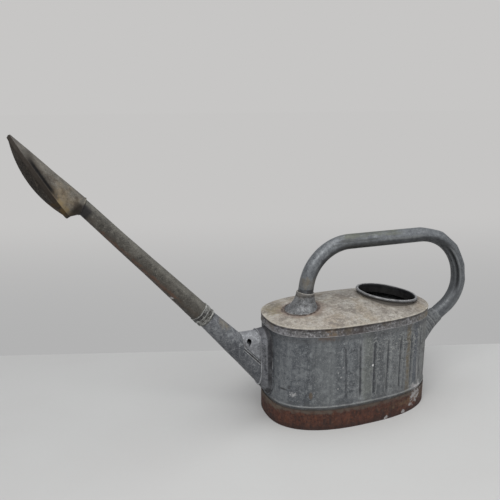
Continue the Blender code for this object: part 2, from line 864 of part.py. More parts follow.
def make_front_socket(can):
    def base_ring(radius):
        ring = []
        for angle in circle_angles(ROUND_SIDES):
            x = SOCKET_X + radius * math.cos(angle)
            y = radius * math.sin(angle)
            ring.append(Vector((x, y, plate_height(x, y) + GAP)))
        return ring

    base = base_ring(SOCKET_BASE_RADIUS)
    base_inner = base_ring(SOCKET_BASE_RADIUS - SHEET)
    lip_place = handle_entry()
    make_socket("front_socket", can, base, base_inner, lip_place, FRONT_LEAN, SOCKET_NECK)


def make_rear_socket(can):
    place, heading, length = lower_run()
    direction = heading_vector(heading)
    hit = place + direction * length

    def base_ring(shrink):
        ring = []
        for angle in circle_angles(ROUND_SIDES):
            y = (REAR_BASE_WIDTH - shrink) * math.sin(angle)
            z = hit.z - (REAR_BASE_HEIGHT - shrink) * math.cos(angle)
            ring.append(Vector((wall_reach(y, z), y, z)))
        return ring

    lip_place = hit - direction * REAR_SOCKET_LENGTH
    base = base_ring(0.0)
    base_inner = base_ring(SHEET)
    lip_heading = heading + math.pi
    make_socket("rear_socket", can, base, base_inner, lip_place, lip_heading, REAR_SOCKET_NECK)


def centre_on_outline(can):
    """Moves the whole can so that its outline's middle is at X = 0."""
    bpy.context.view_layer.update()
    reach = []
    for piece in bpy.data.objects:
        if piece.type == "MESH" and not piece.hide_render:
            reach += [(piece.matrix_world @ vertex.co).x for vertex in piece.data.vertices]
    can.location.x -= (min(reach) + max(reach)) / 2


def main():
    remove_everything()
    can = make_empty("can")
    spout = make_empty("spout", can, SPOUT_ROOT, SPOUT_ANGLE - math.pi / 2)
    make_side_wall(can)
    make_foot_band(can)
    make_bottom_plate(can)
    make_top_plate(can)
    make_filler_collar(can)
    make_spout_cone(can)
    make_saddle(can)
    make_root_collar(can)
    make_spout_pipe(spout)
    make_solder_ring(spout)
    make_rose_hood(spout)
    make_rose_plate(spout)
    make_handle_tube(can)
    make_front_socket(can)
    make_rear_socket(can)
    centre_on_outline(can)


main()
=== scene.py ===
"""The looks of a weathered zinc watering can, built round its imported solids."""
import math

import bmesh
import bpy
from mathutils import Matrix, Vector, noise


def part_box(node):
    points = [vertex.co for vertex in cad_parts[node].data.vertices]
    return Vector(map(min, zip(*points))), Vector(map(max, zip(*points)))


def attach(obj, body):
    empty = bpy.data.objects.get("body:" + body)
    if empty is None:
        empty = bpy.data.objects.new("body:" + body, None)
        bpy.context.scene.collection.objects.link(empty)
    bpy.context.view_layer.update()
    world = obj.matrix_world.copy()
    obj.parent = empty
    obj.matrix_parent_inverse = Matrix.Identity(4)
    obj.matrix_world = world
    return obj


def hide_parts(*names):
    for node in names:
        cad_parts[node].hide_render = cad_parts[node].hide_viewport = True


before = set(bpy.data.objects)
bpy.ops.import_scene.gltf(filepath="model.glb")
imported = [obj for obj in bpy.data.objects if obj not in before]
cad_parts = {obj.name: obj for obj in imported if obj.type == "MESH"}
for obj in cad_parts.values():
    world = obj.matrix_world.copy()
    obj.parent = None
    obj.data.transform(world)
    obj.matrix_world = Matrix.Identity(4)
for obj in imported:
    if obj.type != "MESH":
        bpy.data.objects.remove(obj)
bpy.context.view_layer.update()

# The sheets are uneven in the same way in each run
noise.seed_set(1)

# Sheet and clearances, in metres as everything here
SHEET = 0.0010
GAP = 0.0003

# Oval side wall, its creases and its bead
WALL_LENGTH = 0.3074
WALL_FOOT_DEPTH = 0.1852
WALL_RIM_DEPTH = 0.1748
FOOT_SQUARENESS = 2.50
RIM_SQUARENESS = 2.68
BODY_HEIGHT = 0.1824
CREASE_PITCH = 0.0271
CREASE_START = 0.0085
CREASE_DEPTH = 0.0024
CREASE_GROOVE = 0.0020
CREASE_SHADE = 0.0027
CREASE_VALLEY = 0.0060
CREASE_WANDER = 0.0060
CREASE_DRIFT = 0.0006
CREASE_RISE = (-0.0100, 0.0020)
CREASE_FADE = 0.0090
CREASE_ROWS = 34
GROOVE_SHARE = 0.62
PANEL_BULGE = 0.0004
BEAD_RISE = 0.0014
BEAD_WIDTH = 0.0046

# Foot band and its hem
FOOT_HEIGHT = 0.0365
FOOT_SHEET = 0.0012
HEM_HEIGHT = 0.0035
HEM_FOLD = 0.0014
BEAD_HEIGHT = FOOT_HEIGHT + 0.0048

# Domed top plate and the filler's mouth
SKIRT_DEPTH = 0.0156
EDGE_BEVEL = 0.0009
DOME_RISE = 0.0171
DOME_CREST_X = 0.0290
DOME_CURVE = 1.5
FILLER_RADIUS = 0.0507
FILLER_SETBACK = 0.0690
FILLER_LIFT = 0.0151
FILLER_TILT = math.radians(7.8)
FILLER_COLLAR = 0.0140
ROLL_RADIUS = 0.0027
ROLL_SWEEP = math.radians(290.0)

# Spout
SPOUT_ANGLE = math.radians(47.5)
SPOUT_HEIGHT = 0.0805
CONE_ROOT_DIAMETER = 0.0480
CONE_TIP_DIAMETER = 0.0278
CONE_LENGTH = 0.1800
SPOUT_LENGTH = 0.4288
PIPE_START = CONE_LENGTH - 0.0170
PIPE_BELL = 0.0260
PIPE_END_DIAMETER = 0.0226
PIPE_TAPER = 1.5
SOLDER_LENGTH = 0.0065
SOLDER_RUN = 0.0130
INLET_DIAMETER = 0.0380
SADDLE_INSET = 0.0013
VENT_RADIUS = 0.0042
VENT_REACH = 0.0374
VENT_DROP = 0.0110
VENT_POINT = 0.0085
ROOT_DEPTH = 0.0180
ROOT_SHEET = 0.0008
ROOT_FLARE = 0.0022

# Rose
ROSE_SHEET = 0.0008
ROSE_LENGTH = 0.1363
ROSE_WIDTH = 0.0800
ROSE_EGG = 0.16
ROSE_FACE_ANGLE = math.radians(12.2)
ROSE_TIP = 0.1319
ROSE_TIP_RISE = 0.0015
ROSE_TIP_SPREAD = 0.20
ROSE_LIP = 0.0060
ROSE_CUT = 0.0089
ROSE_DOME = 0.0135
ROSE_SEAT = 0.0012
ROSE_HOLE_RADIUS = 0.0012
ROSE_HOLE_PITCH = 0.0150
ROSE_HOLE_SPACING = 0.0245
PIPE_ENTRY = 0.0050

# Handle and its sockets
TUBE_DIAMETER = 0.0266
TUBE_WALL = 0.0012
HANDLE_RISE = 0.1194
FRONT_BEND = 0.0830
REAR_BEND = 0.0950
LOWER_BEND = 0.0650
FRONT_LEAN = math.radians(7.5)
REAR_REACH = 0.0920
LOWER_SLOPE = math.radians(35.0)
TUBE_SEAT = 0.0100
SOCKET_SETBACK = 0.0652
SOCKET_HEIGHT = 0.0280
SOCKET_SHIFT = 0.0084
SOCKET_BASE_RADIUS = 0.0310
SOCKET_NECK = 0.0200
SOCKET_LIP = 0.0022
SOCKET_NARROWING = 0.91
REAR_SOCKET_LENGTH = 0.0550
REAR_SOCKET_NECK = 0.0300
REAR_BASE_WIDTH = 0.0310
REAR_BASE_HEIGHT = 0.0345

# Wear of the creases: how much of each is left, and where along the near side it goes
CREASE_STRENGTH = 0.85
CREASE_SPREAD = 0.3
CREASE_WEAR = 0.78
WORN_BEFORE = -0.46
WHOLE_FROM = -0.16

# Unevenness of the beaten sheets, and how many waves of it go to a metre
WALL_DENT = 0.0006
WALL_WAVES = 16.0
PLATE_DENT = 0.0007
PLATE_WAVES = 18.0
RIM_KNOCK = 0.0005
CONE_DENT = 0.0005
CONE_WAVES = 28.0
ROOT_DENT = 0.0003
ROOT_WAVES = 60.0
PIPE_DENT = 0.0006
PIPE_WAVES = 18.0
HOOD_DENT = 0.0007
HOOD_WAVES = 26.0
RUST_PIT = 0.00035
RUST_SWELL = 0.0003
TUBE_FLAT = 0.0019
TUBE_PINCH = 0.0034

# Faces round each piece
BAND_SIDES = 420
TOP_SIDES = 288
FILLER_SIDES = 144
CONE_SIDES = 72
PIPE_SIDES = 64
JOINT_SIDES = 96
ROSE_SIDES = 120
TUBE_SIDES = 56
SOCKET_SIDES = 96

# Places that follow from these
NOSE_X = -WALL_LENGTH / 2
REAR_X = WALL_LENGTH / 2
SKIRT_LOW = BODY_HEIGHT - SKIRT_DEPTH
CREASE_LOW = BEAD_HEIGHT + 0.0147
CREASE_HIGH = SKIRT_LOW - 0.0258
SADDLE_TOP = SKIRT_LOW - 0.0053
FILLER_PLACE = Vector((REAR_X - FILLER_SETBACK, 0.0, BODY_HEIGHT + FILLER_LIFT))
FILLER_AXIS = Vector((math.sin(FILLER_TILT), 0.0, math.cos(FILLER_TILT)))
WALL_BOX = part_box("side_wall")
CAN_X = (WALL_BOX[0].x + WALL_BOX[1].x) / 2
TO_ROW = Matrix.Translation((CAN_X, 0.0, 0.0))
SPOUT = (
    Matrix.Translation((NOSE_X, 0.0, SPOUT_HEIGHT))
    @ Matrix.Rotation(SPOUT_ANGLE - math.pi / 2, 4, "Y")
)


def new_object(name, mesh, material, replaced=(), sharp=38.0):
    """Adds a finished mesh as a piece of the can."""
    mesh.shade_smooth()
    mesh.set_sharp_from_angle(angle=math.radians(sharp))
    mesh.materials.append(material)
    piece = bpy.data.objects.new(name, mesh)
    bpy.context.scene.collection.objects.link(piece)
    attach(piece, "root")
    if replaced:
        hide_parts(*replaced)
    return piece


def mesh_of(name, points, faces):
    mesh = bpy.data.meshes.new(name)
    mesh.from_pydata([TO_ROW @ Vector(point) for point in points], [], faces)
    work = bmesh.new()
    work.from_mesh(mesh)
    bmesh.ops.recalc_face_normals(work, faces=work.faces)
    work.to_mesh(mesh)
    work.free()
    return mesh


def band_faces(first, second, count):
    return [
        (first + k, first + (k + 1) % count, second + (k + 1) % count, second + k)
        for k in range(count)
    ]


def closed_shell(rings):
    """A wall whose section is a closed loop: the last ring joins the first."""
    count = len(rings[0])
    points = [point for ring in rings for point in ring]
    faces = []
    for index in range(len(rings)):
        faces += band_faces(index * count, (index + 1) % len(rings) * count, count)
    return points, faces


def capped_stack(rings):
    """A solid through a stack of rings, with a flat cap at each end."""
    count = len(rings[0])
    points = [point for ring in rings for point in ring]
    faces = []
    for index in range(len(rings) - 1):
        faces += band_faces(index * count, (index + 1) * count, count)
    last = (len(rings) - 1) * count
    faces.append(tuple(range(count - 1, -1, -1)))
    faces.append(tuple(range(last, last + count)))
    return points, faces


def shell_piece(name, rings, material, replaced=(), sharp=38.0):
    mesh = mesh_of(name, *closed_shell(rings))
    return new_object(name, mesh, material, replaced, sharp)


def set_mark(piece, name, values):
    """Gives each point of a piece a value that its material reads."""
    made = piece.data.attributes.new(name, "FLOAT", "POINT")
    made.data.foreach_set("value", values)


def cut_away(piece, geometry):
    """Takes a cutter's volume out of a piece for good."""
    cutter = bpy.data.objects.new("cutter", mesh_of("cutter", *geometry))
    bpy.context.scene.collection.objects.link(cutter)
    boolean = piece.modifiers.new("cut", "BOOLEAN")
    boolean.operation = "DIFFERENCE"
    boolean.solver = "EXACT"
    boolean.object = cutter
    graph = bpy.context.evaluated_depsgraph_get()
    finished = bpy.data.meshes.new_from_object(piece.evaluated_get(graph))
    piece.modifiers.clear()
    piece.data = finished
    bpy.data.objects.remove(cutter, do_unlink=True)


def smooth_step(value, low, high):
    share = min(1.0, max(0.0, (value - low) / (high - low)))
    return share * share * (3.0 - 2.0 * share)


def wobble(point, size, scale):
    """A point moved by a smooth field, the same for both faces of a sheet."""
    return Vector(point) + noise.noise_vector(Vector(point) * scale) * size


def bisect(reaches, low, high):
    for _ in range(30):
        middle = (low + high) / 2
        if reaches(middle):
            high = middle
        else:
            low = middle
    return (low + high) / 2


def circle_angles(count):
    return [2 * math.pi * k / count for k in range(count)]


def signed_power(value, power):
    return math.copysign(abs(value) ** power, value)


def oval_shape(height):
    share = height / BODY_HEIGHT
    half_depth = (WALL_FOOT_DEPTH + (WALL_RIM_DEPTH - WALL_FOOT_DEPTH) * share) / 2
    squareness = FOOT_SQUARENESS + (RIM_SQUARENESS - FOOT_SQUARENESS) * share
    return WALL_LENGTH / 2, half_depth, squareness


def oval_point(turn, height, offset=0.0):
    half_length, half_depth, squareness = oval_shape(height)
    x = (half_length + offset) * signed_power(math.cos(turn), 2 / squareness)
    y = (half_depth + offset) * signed_power(math.sin(turn), 2 / squareness)
    return Vector((x, y, height))


def wall_reach(y, height, clearance=GAP):
    """How far from the middle plane X = 0 a point beside the wall's end lies."""
    half_length, half_depth, squareness = oval_shape(height)
    grow = bead_offset(height) + clearance
    share = min(1.0, abs(y) / (half_depth + grow))
    return (half_length + grow) * (1.0 - share ** squareness) ** (1 / squareness)


def bead_offset(height):
    away = min(1.0, abs(height - BEAD_HEIGHT) / (BEAD_WIDTH / 2))
    return BEAD_RISE * (1.0 + math.cos(math.pi * away)) / 2


def girth_table():
    """Turns round the oval from the near side, with the length of wall up to each."""
    steps = 2880
    turns = [-math.pi / 2 + 2 * math.pi * k / steps for k in range(steps + 1)]
    reach = [0.0]
    for before, after in zip(turns, turns[1:]):
        gap = oval_point(after, BODY_HEIGHT / 2) - oval_point(before, BODY_HEIGHT / 2)
        reach.append(reach[-1] + gap.length)
    return turns, reach


GIRTH_TURNS, GIRTH_REACH = girth_table()
GIRTH = GIRTH_REACH[-1]
CREASES = round(GIRTH / CREASE_PITCH)
PITCH = GIRTH / CREASES


def turns_at(lengths):
    """Turns round the oval at rising lengths of wall from the near side."""
    found = []
    place = 0
    for wanted in lengths:
        while GIRTH_REACH[place + 1] < wanted:
            place += 1
        share = (wanted - GIRTH_REACH[place]) / (GIRTH_REACH[place + 1] - GIRTH_REACH[place])
        found.append(GIRTH_TURNS[place] + share * (GIRTH_TURNS[place + 1] - GIRTH_TURNS[place]))
    return found


def even_turns(count):
    return turns_at([GIRTH * k / count for k in range(count)])


# Lengths from a crease's line at which the wall has its columns
HALF_COLUMNS = (0.0, 0.0006, 0.0012, 0.0019, 0.0028, 0.0042, 0.0064, 0.0094)


def wall_columns():
    """Length along the wall, length from the nearest crease and that crease's number."""
    columns = []
    for index in range(CREASES):
        line = CREASE_START + index * PITCH
        for away in HALF_COLUMNS:
            columns.append(((line + away) % GIRTH, away, index))
        for away in (PITCH / 2, *HALF_COLUMNS[:0:-1]):
            columns.append(((line + PITCH - away) % GIRTH, away, (index + 1) % CREASES))
    columns.sort()
    return columns


def crease_strength(turn, index):
    """The creases on the near left are worn almost flat; elsewhere they differ a little."""
    x = math.cos(turn)
    near = smooth_step(-math.sin(turn), 0.0, 0.3)
    worn = near * (1.0 - smooth_step(x, WORN_BEFORE, WHOLE_FROM))
    uneven = CREASE_STRENGTH + CREASE_SPREAD * noise.noise(Vector((index * 3.7, 0.0, 5.0)))
    return uneven * (1.0 - CREASE_WEAR * worn)


def crease_run(index, height):
    """Where along the height a crease is pressed, from 0 to 1."""
    upper = CREASE_HIGH + CREASE_WANDER * noise.noise(Vector((index * 1.9, 2.0, 0.0)))
    rise = smooth_step(height - CREASE_LOW, *CREASE_RISE)
    return rise * (1.0 - smooth_step(height, upper, upper + CREASE_FADE))


def crease_share(turn, away, index, height, width=CREASE_GROOVE):
    """The crease's own profile across its line, from 0 to 1."""
    run = noise.noise(Vector((index * 2.3, height * 22.0, 1.0)))
    drift = max(0.0, away + CREASE_DRIFT * run)
    groove = math.exp(-((drift / width) ** 2))
    return groove * crease_run(index, height) * crease_strength(turn, index)


def wall_relief(turn, away, index, height):
    """How far the creased wall lies out from, or in from, its plain oval."""
    strength = crease_run(index, height) * crease_strength(turn, index)
    valley = math.exp(-((away / CREASE_VALLEY) ** 2))
    panel = PANEL_BULGE * (1.0 - (2.0 * (PITCH / 2 - away) / PITCH) ** 2)
    groove = GROOVE_SHARE * CREASE_DEPTH * crease_share(turn, away, index, height)
    return strength * (panel - (1.0 - GROOVE_SHARE) * CREASE_DEPTH * valley) - groove


def wall_ring(columns, turns, height, offset):
    ring = []
    for (length, away, index), turn in zip(columns, turns):
        relief = wall_relief(turn, away, index, height) + bead_offset(height)
        point = oval_point(turn, height, offset + relief)
        dent = WALL_DENT * noise.noise(point * WALL_WAVES) * smooth_step(height, 0.045, 0.08)
        dent *= 1.0 - smooth_step(height, SKIRT_LOW - 0.03, SKIRT_LOW - 0.005)
        out = Vector((point.x, point.y, 0.0)).normalized()
        ring.append(point + out * (dent - abs(dent) * 0.3))
    return ring


def make_wall(material):
    columns = wall_columns()
    turns = turns_at([length for length, away, index in columns])
    foot = HEM_HEIGHT + GAP
    top = BODY_HEIGHT - SHEET - GAP
    half = BEAD_WIDTH / 2
    heights = [foot, 0.020, 0.034]
    heights += [BEAD_HEIGHT + half * k / 4 for k in range(-4, 5)]
    start = BEAD_HEIGHT + half
    step = (CREASE_HIGH + 0.016 - start) / CREASE_ROWS
    heights += [start + step * (k + 1) for k in range(CREASE_ROWS)]
    heights += [SKIRT_LOW - 0.002, SKIRT_LOW + 0.005, top]
    outer = [wall_ring(columns, turns, height, 0.0) for height in heights]
    inner = [wall_ring(columns, turns, height, -SHEET) for height in heights[::-2]]
    if heights[::-2][-1] != foot:
        inner.append(wall_ring(columns, turns, foot, -SHEET))
    wall = shell_piece("wall", outer + inner, material, ["side_wall"])
    angles = circle_angles(48)
    rings = []
    for distance in (-INLET_DIAMETER, INLET_DIAMETER):
        grow = INLET_DIAMETER / 2 - cone_radius(distance)
        rings.append([cone_point(angle, distance, grow) for angle in angles])
    cut_away(wall, capped_stack(rings))
    body = [vertex.co - Vector((CAN_X, 0.0, 0.0)) for vertex in wall.data.vertices]
    set_mark(wall, "crease", [crease_mark(point) for point in body])


def crease_mark(point):
    """How deep in a crease a point of the wall lies, from 0 to 1."""
    half_length, half_depth, squareness = oval_shape(point.z)
    along = signed_power(point.x / half_length, squareness / 2)
    across = signed_power(point.y / half_depth, squareness / 2)
    turn = (math.atan2(across, along) + math.pi / 2) % (2 * math.pi)
    place = turn / (2 * math.pi) * (len(GIRTH_REACH) - 1)
    start = min(int(place), len(GIRTH_REACH) - 2)
    reach = GIRTH_REACH[start] + (GIRTH_REACH[start + 1] - GIRTH_REACH[start]) * (place - start)
    index = round((reach - CREASE_START) / PITCH)
    away = abs(reach - CREASE_START - index * PITCH)
    return crease_share(turn - math.pi / 2, away, index % CREASES, point.z, CREASE_SHADE)


def make_band(material):
    """The foot band: rolled hem below, plain upper edge, its rust swollen and pitted."""
    turns = even_turns(BAND_SIDES)
    out = GAP + FOOT_SHEET
    hem = GAP - HEM_FOLD
    section = [(0.0, out - 0.0004), (0.0004, out), (0.0012, out)]
    section += [(HEM_HEIGHT - 0.0004, out - 0.0001), (HEM_HEIGHT + 0.0002, out - 0.0003)]
    rows = 16
    climb = FOOT_HEIGHT - HEM_HEIGHT - 0.0012
    section += [(HEM_HEIGHT + 0.0010 + climb * k / rows, out) for k in range(rows + 1)]
    section += [(FOOT_HEIGHT, out - 0.0002), (FOOT_HEIGHT, GAP)]
    section += [(HEM_HEIGHT, GAP), (HEM_HEIGHT, hem), (0.0, hem)]
    rings = []
    for height, offset in section:
        ring = []
        for turn in turns:
            point = oval_point(turn, height, offset)
            if offset > GAP + 0.0008 and height > 0.0002:
                pits = noise.noise(point * 90.0) * 0.5 + noise.noise(point * 260.0) * 0.5
                sunk = RUST_PIT * abs(pits) + RUST_SWELL * abs(noise.noise(point * 30.0))
                point = oval_point(turn, height, offset - sunk)
            ring.append(point)
        rings.append(ring)
    shell_piece("band", rings, material, ["foot_band"])


def plate_height(x, y):
    """Height of the top plate's face over a place of the oval."""
    edge = SHEET + GAP
    half_length, half_depth, squareness = oval_shape(BODY_HEIGHT)

    def past_edge(scale):
        along = abs(DOME_CREST_X + (x - DOME_CREST_X) * scale) / (half_length + edge)
        across = abs(y * scale) / (half_depth + edge)
        return along ** squareness + across ** squareness >= 1.0

    if abs(x - DOME_CREST_X) + abs(y) < SHEET:
        return BODY_HEIGHT + DOME_RISE
    share = min(1.0, 1.0 / bisect(past_edge, 0.5, 400.0))
    return BODY_HEIGHT + DOME_RISE * (1.0 - share ** DOME_CURVE)


def filler_hole(count, drop):
    """The plate's hole, where the tilted collar passes the plate's face."""
    radius = FILLER_RADIUS + SHEET + GAP
    across = Vector((math.cos(FILLER_TILT), 0.0, -math.sin(FILLER_TILT)))
    ring = []
    for k in range(count):
        angle = -math.pi / 2 + 2 * math.pi * k / count
        start = FILLER_PLACE + across * radius * math.cos(angle)
        start.y += radius * math.sin(angle)

        def above_plate(distance):
            point = start + FILLER_AXIS * distance
            return point.z >= plate_height(point.x, point.y) - drop

        ring.append(start + FILLER_AXIS * bisect(above_plate, -FILLER_RADIUS, FILLER_RADIUS))
    return ring


def plate_dent(point):
    """The top plate is a little uneven, as beaten sheet is."""
    place = Vector((point.x * PLATE_WAVES, point.y * PLATE_WAVES, 3.0))
    return PLATE_DENT * noise.noise(place)


def plate_ring(edge_ring, hole_ring, share, drop):
    """A ring of the plate, between its edge and its hole."""
    ring = []
    for edge, hole in zip(edge_ring, hole_ring):
        point = edge.lerp(hole, share)
        fade = smooth_step(share, 0.0, 0.25) * (1.0 - smooth_step(share, 0.75, 1.0))
        point.z = plate_height(point.x, point.y) - drop + plate_dent(point) * fade
        ring.append(point)
    return ring


def make_top(material):
    """The domed plate with its turned-down skirt, open at the filler."""
    turns = even_turns(TOP_SIDES)
    outside = SHEET + GAP
    shares = [0.012, 0.03, 0.06, 0.10, 0.15, 0.21] + [0.28 + 0.08 * k for k in range(9)]

    def ring_at(height, offset):
        return [oval_point(turn, height, offset) for turn in turns]

    skirt = [
        (SKIRT_LOW, GAP), (SKIRT_LOW - 0.0002, outside - 0.0003),
        (SKIRT_LOW + 0.0003, outside), (SKIRT_LOW + 0.0014, outside),
        (SKIRT_LOW + 0.0022, outside - 0.0004), (BODY_HEIGHT - 0.0060, outside - 0.0005),
        (BODY_HEIGHT - 0.0030, outside - 0.0004),
    ]
    rings = [ring_at(height, offset) for height, offset in skirt]
    for k in range(6):
        angle = math.pi / 2 * k / 5
        away = EDGE_BEVEL * (1.0 - math.cos(angle))
        up = EDGE_BEVEL * math.sin(angle)
        rings.append(ring_at(BODY_HEIGHT - EDGE_BEVEL + up, outside - away))
    upper_edge = rings[-1]
    under_edge = ring_at(BODY_HEIGHT, GAP)
    upper_hole = filler_hole(TOP_SIDES, 0.0)
    under_hole = filler_hole(TOP_SIDES, SHEET)
    rings += [plate_ring(upper_edge, upper_hole, share, 0.0) for share in shares]
    rings += [upper_hole, under_hole]
    rings += [plate_ring(under_edge, under_hole, share, SHEET) for share in shares[::-3]]
    rings.append(ring_at(BODY_HEIGHT - SHEET, GAP))
    shell_piece("top", rings, material, ["top_plate"])


def make_filler(material):
    """The filler's collar with its rolled edge, a little out of round."""
    steps = 22
    centre = FILLER_RADIUS + ROLL_RADIUS
    roll = [math.pi - ROLL_SWEEP * k / steps for k in range(steps + 1)]
    hidden = ROLL_RADIUS - SHEET
    section = [(FILLER_RADIUS, -FILLER_COLLAR), (FILLER_RADIUS, -FILLER_COLLAR / 2)]
    section += [(centre + ROLL_RADIUS * math.cos(a), ROLL_RADIUS * math.sin(a)) for a in roll]
    section += [(centre + hidden * math.cos(a), hidden * math.sin(a)) for a in roll[::-1]]
    section += [(FILLER_RADIUS + SHEET, -FILLER_COLLAR / 2), (FILLER_RADIUS + SHEET, -FILLER_COLLAR)]
    place = Matrix.Translation(FILLER_PLACE) @ Matrix.Rotation(FILLER_TILT, 4, "Y")
    rings = []
    for radius, height in section:
        ring = []
        for angle in circle_angles(FILLER_SIDES):
            way = Vector((math.cos(angle), math.sin(angle), 0.0))
            knock = RIM_KNOCK * noise.noise(way * 2.5 + Vector((0.0, 0.0, 7.0)))
            knock *= smooth_step(height, -0.006, 0.0)
            ring.append(place @ (way * radius + Vector((0.0, 0.0, height + knock))))
        rings.append(ring)
    shell_piece("filler", rings, material, ["filler_collar"])


SPOUT_ROOT = Vector((NOSE_X, 0.0, SPOUT_HEIGHT))
SPOUT_AXIS = Vector((-math.cos(SPOUT_ANGLE), 0.0, math.sin(SPOUT_ANGLE)))
SPOUT_UP = Vector((math.sin(SPOUT_ANGLE), 0.0, math.cos(SPOUT_ANGLE)))


def cone_radius(distance):
    share = distance / CONE_LENGTH
    return (CONE_ROOT_DIAMETER + (CONE_TIP_DIAMETER - CONE_ROOT_DIAMETER) * share) / 2


def cone_point(angle, distance, grow=0.0):
    radial = Vector((0.0, math.cos(angle), 0.0)) + SPOUT_UP * math.sin(angle)
    return SPOUT_ROOT + SPOUT_AXIS * distance + radial * (cone_radius(distance) + grow)


def cone_reach(angle, grow, stop_x):
    """Distance along the axis where the cone's line comes to x = stop_x(point)."""

    def outside(distance):
        point = cone_point(angle, distance, grow)
        return point.x <= stop_x(point)

    return bisect(outside, -0.08, 0.16)


def at_wall(point):
    return -wall_reach(point.y, point.z)


def at_root_front(point):
    return NOSE_X - ROOT_DEPTH


def make_cone(material):
    angles = circle_angles(CONE_SIDES)
    rows = 26

    def rings_of(grow):
        starts = [cone_reach(angle, grow, at_wall) for angle in angles]
        found = []
        for k in range(rows + 1):
            share = k / rows
            ring = []
            for angle, start in zip(angles, starts):
                point = cone_point(angle, start + (CONE_LENGTH - start) * share, grow)
                ring.append(wobble(point, CONE_DENT * math.sin(math.pi * share), CONE_WAVES))
            found.append(ring)
        return found

    rings = rings_of(0.0) + rings_of(-SHEET)[::-1]
    shell_piece("cone", rings, material, ["spout_cone"])


def saddle_half_width(x):
    return cone_radius((NOSE_X - x) / math.cos(SPOUT_ANGLE)) - SADDLE_INSET


def cone_top(x, y):
    """Height of the cone's upper face, with its clearance, over a place."""

    def clear(z):
        run = Vector((x, y, z)) - SPOUT_ROOT
        distance = run.dot(SPOUT_AXIS)
        away = (run - SPOUT_AXIS * distance).length
        return away >= cone_radius(distance) + GAP

    axis_height = SPOUT_HEIGHT + (NOSE_X - x) * math.tan(SPOUT_ANGLE)
    return bisect(clear, axis_height, axis_height + 0.060)


def saddle_section(x, shrink):
    """The arch over the cone at one place, from the near foot over to the far one."""
    half = saddle_half_width(x) - shrink
    centre = SADDLE_TOP - shrink - half
    foot = cone_top(x, half)
    line = []
    sides = 8
    for k in range(sides):
        line.append((-half, foot + (max(foot, centre) - foot) * k / sides))
    for k in range(25):
        angle = math.pi * (1.0 - k / 24)
        y = half * math.cos(angle)
        line.append((y, max(centre + half * math.sin(angle), cone_top(x, y))))
    for k in range(sides):
        line.append((half, foot + (max(foot, centre) - foot) * (sides - 1 - k) / sides))
    return line


def saddle_front():
    """X at which the cone comes up through the brace's crest."""

    def covered(reach):
        return cone_top(NOSE_X - reach, 0.0) >= SADDLE_TOP - SHEET

    return NOSE_X - bisect(covered, 0.010, 0.062)


SADDLE_FRONT = saddle_front()
SADDLE_ROWS = 26


def saddle_x(row):
    return NOSE_X + (SADDLE_FRONT - NOSE_X) * row / SADDLE_ROWS


def make_saddle(material):
    rings = []
    for row in range(SADDLE_ROWS + 1):
        x = saddle_x(row)
        outer = saddle_section(x, 0.0)
        inner = saddle_section(x, SHEET)
        ring = []
        for (y, z), (inner_y, inner_z) in zip(outer, inner):
            z = max(z, inner_z + 0.0002)
            place = -wall_reach(y, z) if row == 0 else x
            ring.append(Vector((place, y, z)))
        for y, z in inner[::-1]:
            place = -wall_reach(y, z) if row == 0 else x
            ring.append(Vector((place, y, z)))
        rings.append(ring)
    mesh = mesh_of("saddle", *capped_stack(rings))
    saddle = new_object("saddle", mesh, material, ["spout_saddle"])
    cut_away(saddle, vent_plug())


def vent_plug():
    x = NOSE_X - VENT_REACH
    z = SADDLE_TOP - VENT_DROP
    outline = [(0.0, -VENT_POINT)]
    for k in range(17):
        angle = math.radians(-20.0 + 220.0 * k / 16)
        outline.append((VENT_RADIUS * math.cos(angle), VENT_RADIUS * math.sin(angle)))
    half = saddle_half_width(x)
    rings = []
    for y in (-half - VENT_RADIUS, -half / 2):
        rings.append([Vector((x + dx, y, z + dz)) for dx, dz in outline])
    return capped_stack(rings)


def root_ring(stop_x, grow, top, steps=26):
    """Outline round both roots: the cone's underside, then up over the saddle."""
    ring = []
    for k in range(steps + 1):
        angle = -math.pi * k / steps
        ring.append(cone_point(angle, cone_reach(angle, grow, stop_x), grow))
    x = stop_x(Vector((NOSE_X, 0.0, SADDLE_TOP)))
    half = saddle_half_width(x) + grow
    side = 10
    first = ring[-1]
    last = ring[0]
    springing = top + grow - half
    for k in range(1, side):
        z = first.z + (springing - first.z) * k / side
        y = -half + (first.y + half) * (1.0 - k / side)
        ring.append(Vector((stop_x(Vector((x, y, z))), y, z)))
    for k in range(steps + 1):
        angle = math.pi * (1.0 - k / steps)
        y = half * math.cos(angle)
        z = springing + half * math.sin(angle)
        ring.append(Vector((stop_x(Vector((x, y, z))), y, z)))
    for k in range(1, side):
        z = springing + (last.z - springing) * k / side
        y = half + (last.y - half) * k / side
        ring.append(Vector((stop_x(Vector((x, y, z))), y, z)))
    return ring


def make_root(material):
    """The collar round both roots: a short sleeve with a rounded front edge."""
    outside = GAP + ROOT_SHEET
    wall_top = SADDLE_TOP + ROOT_FLARE
    back = root_ring(at_wall, outside, wall_top)
    front = root_ring(at_root_front, outside, SADDLE_TOP)
    inner_front = root_ring(at_root_front, GAP, SADDLE_TOP)
    inner_back = root_ring(at_wall, GAP, wall_top)
    rings = []
    rows = 12
    for k in range(rows + 1):
        share = k / rows
        ring = []
        for a, b in zip(back, front):
            point = a.lerp(b, share)
            ring.append(wobble(point, ROOT_DENT * math.sin(math.pi * share), ROOT_WAVES))
        rings.append(ring)
    rings += [inner_front, inner_back]
    shell_piece("root_collar", rings, material, ["spout_root_collar"])


PIPE_BELL_RADIUS = cone_radius(PIPE_START) + GAP + SHEET


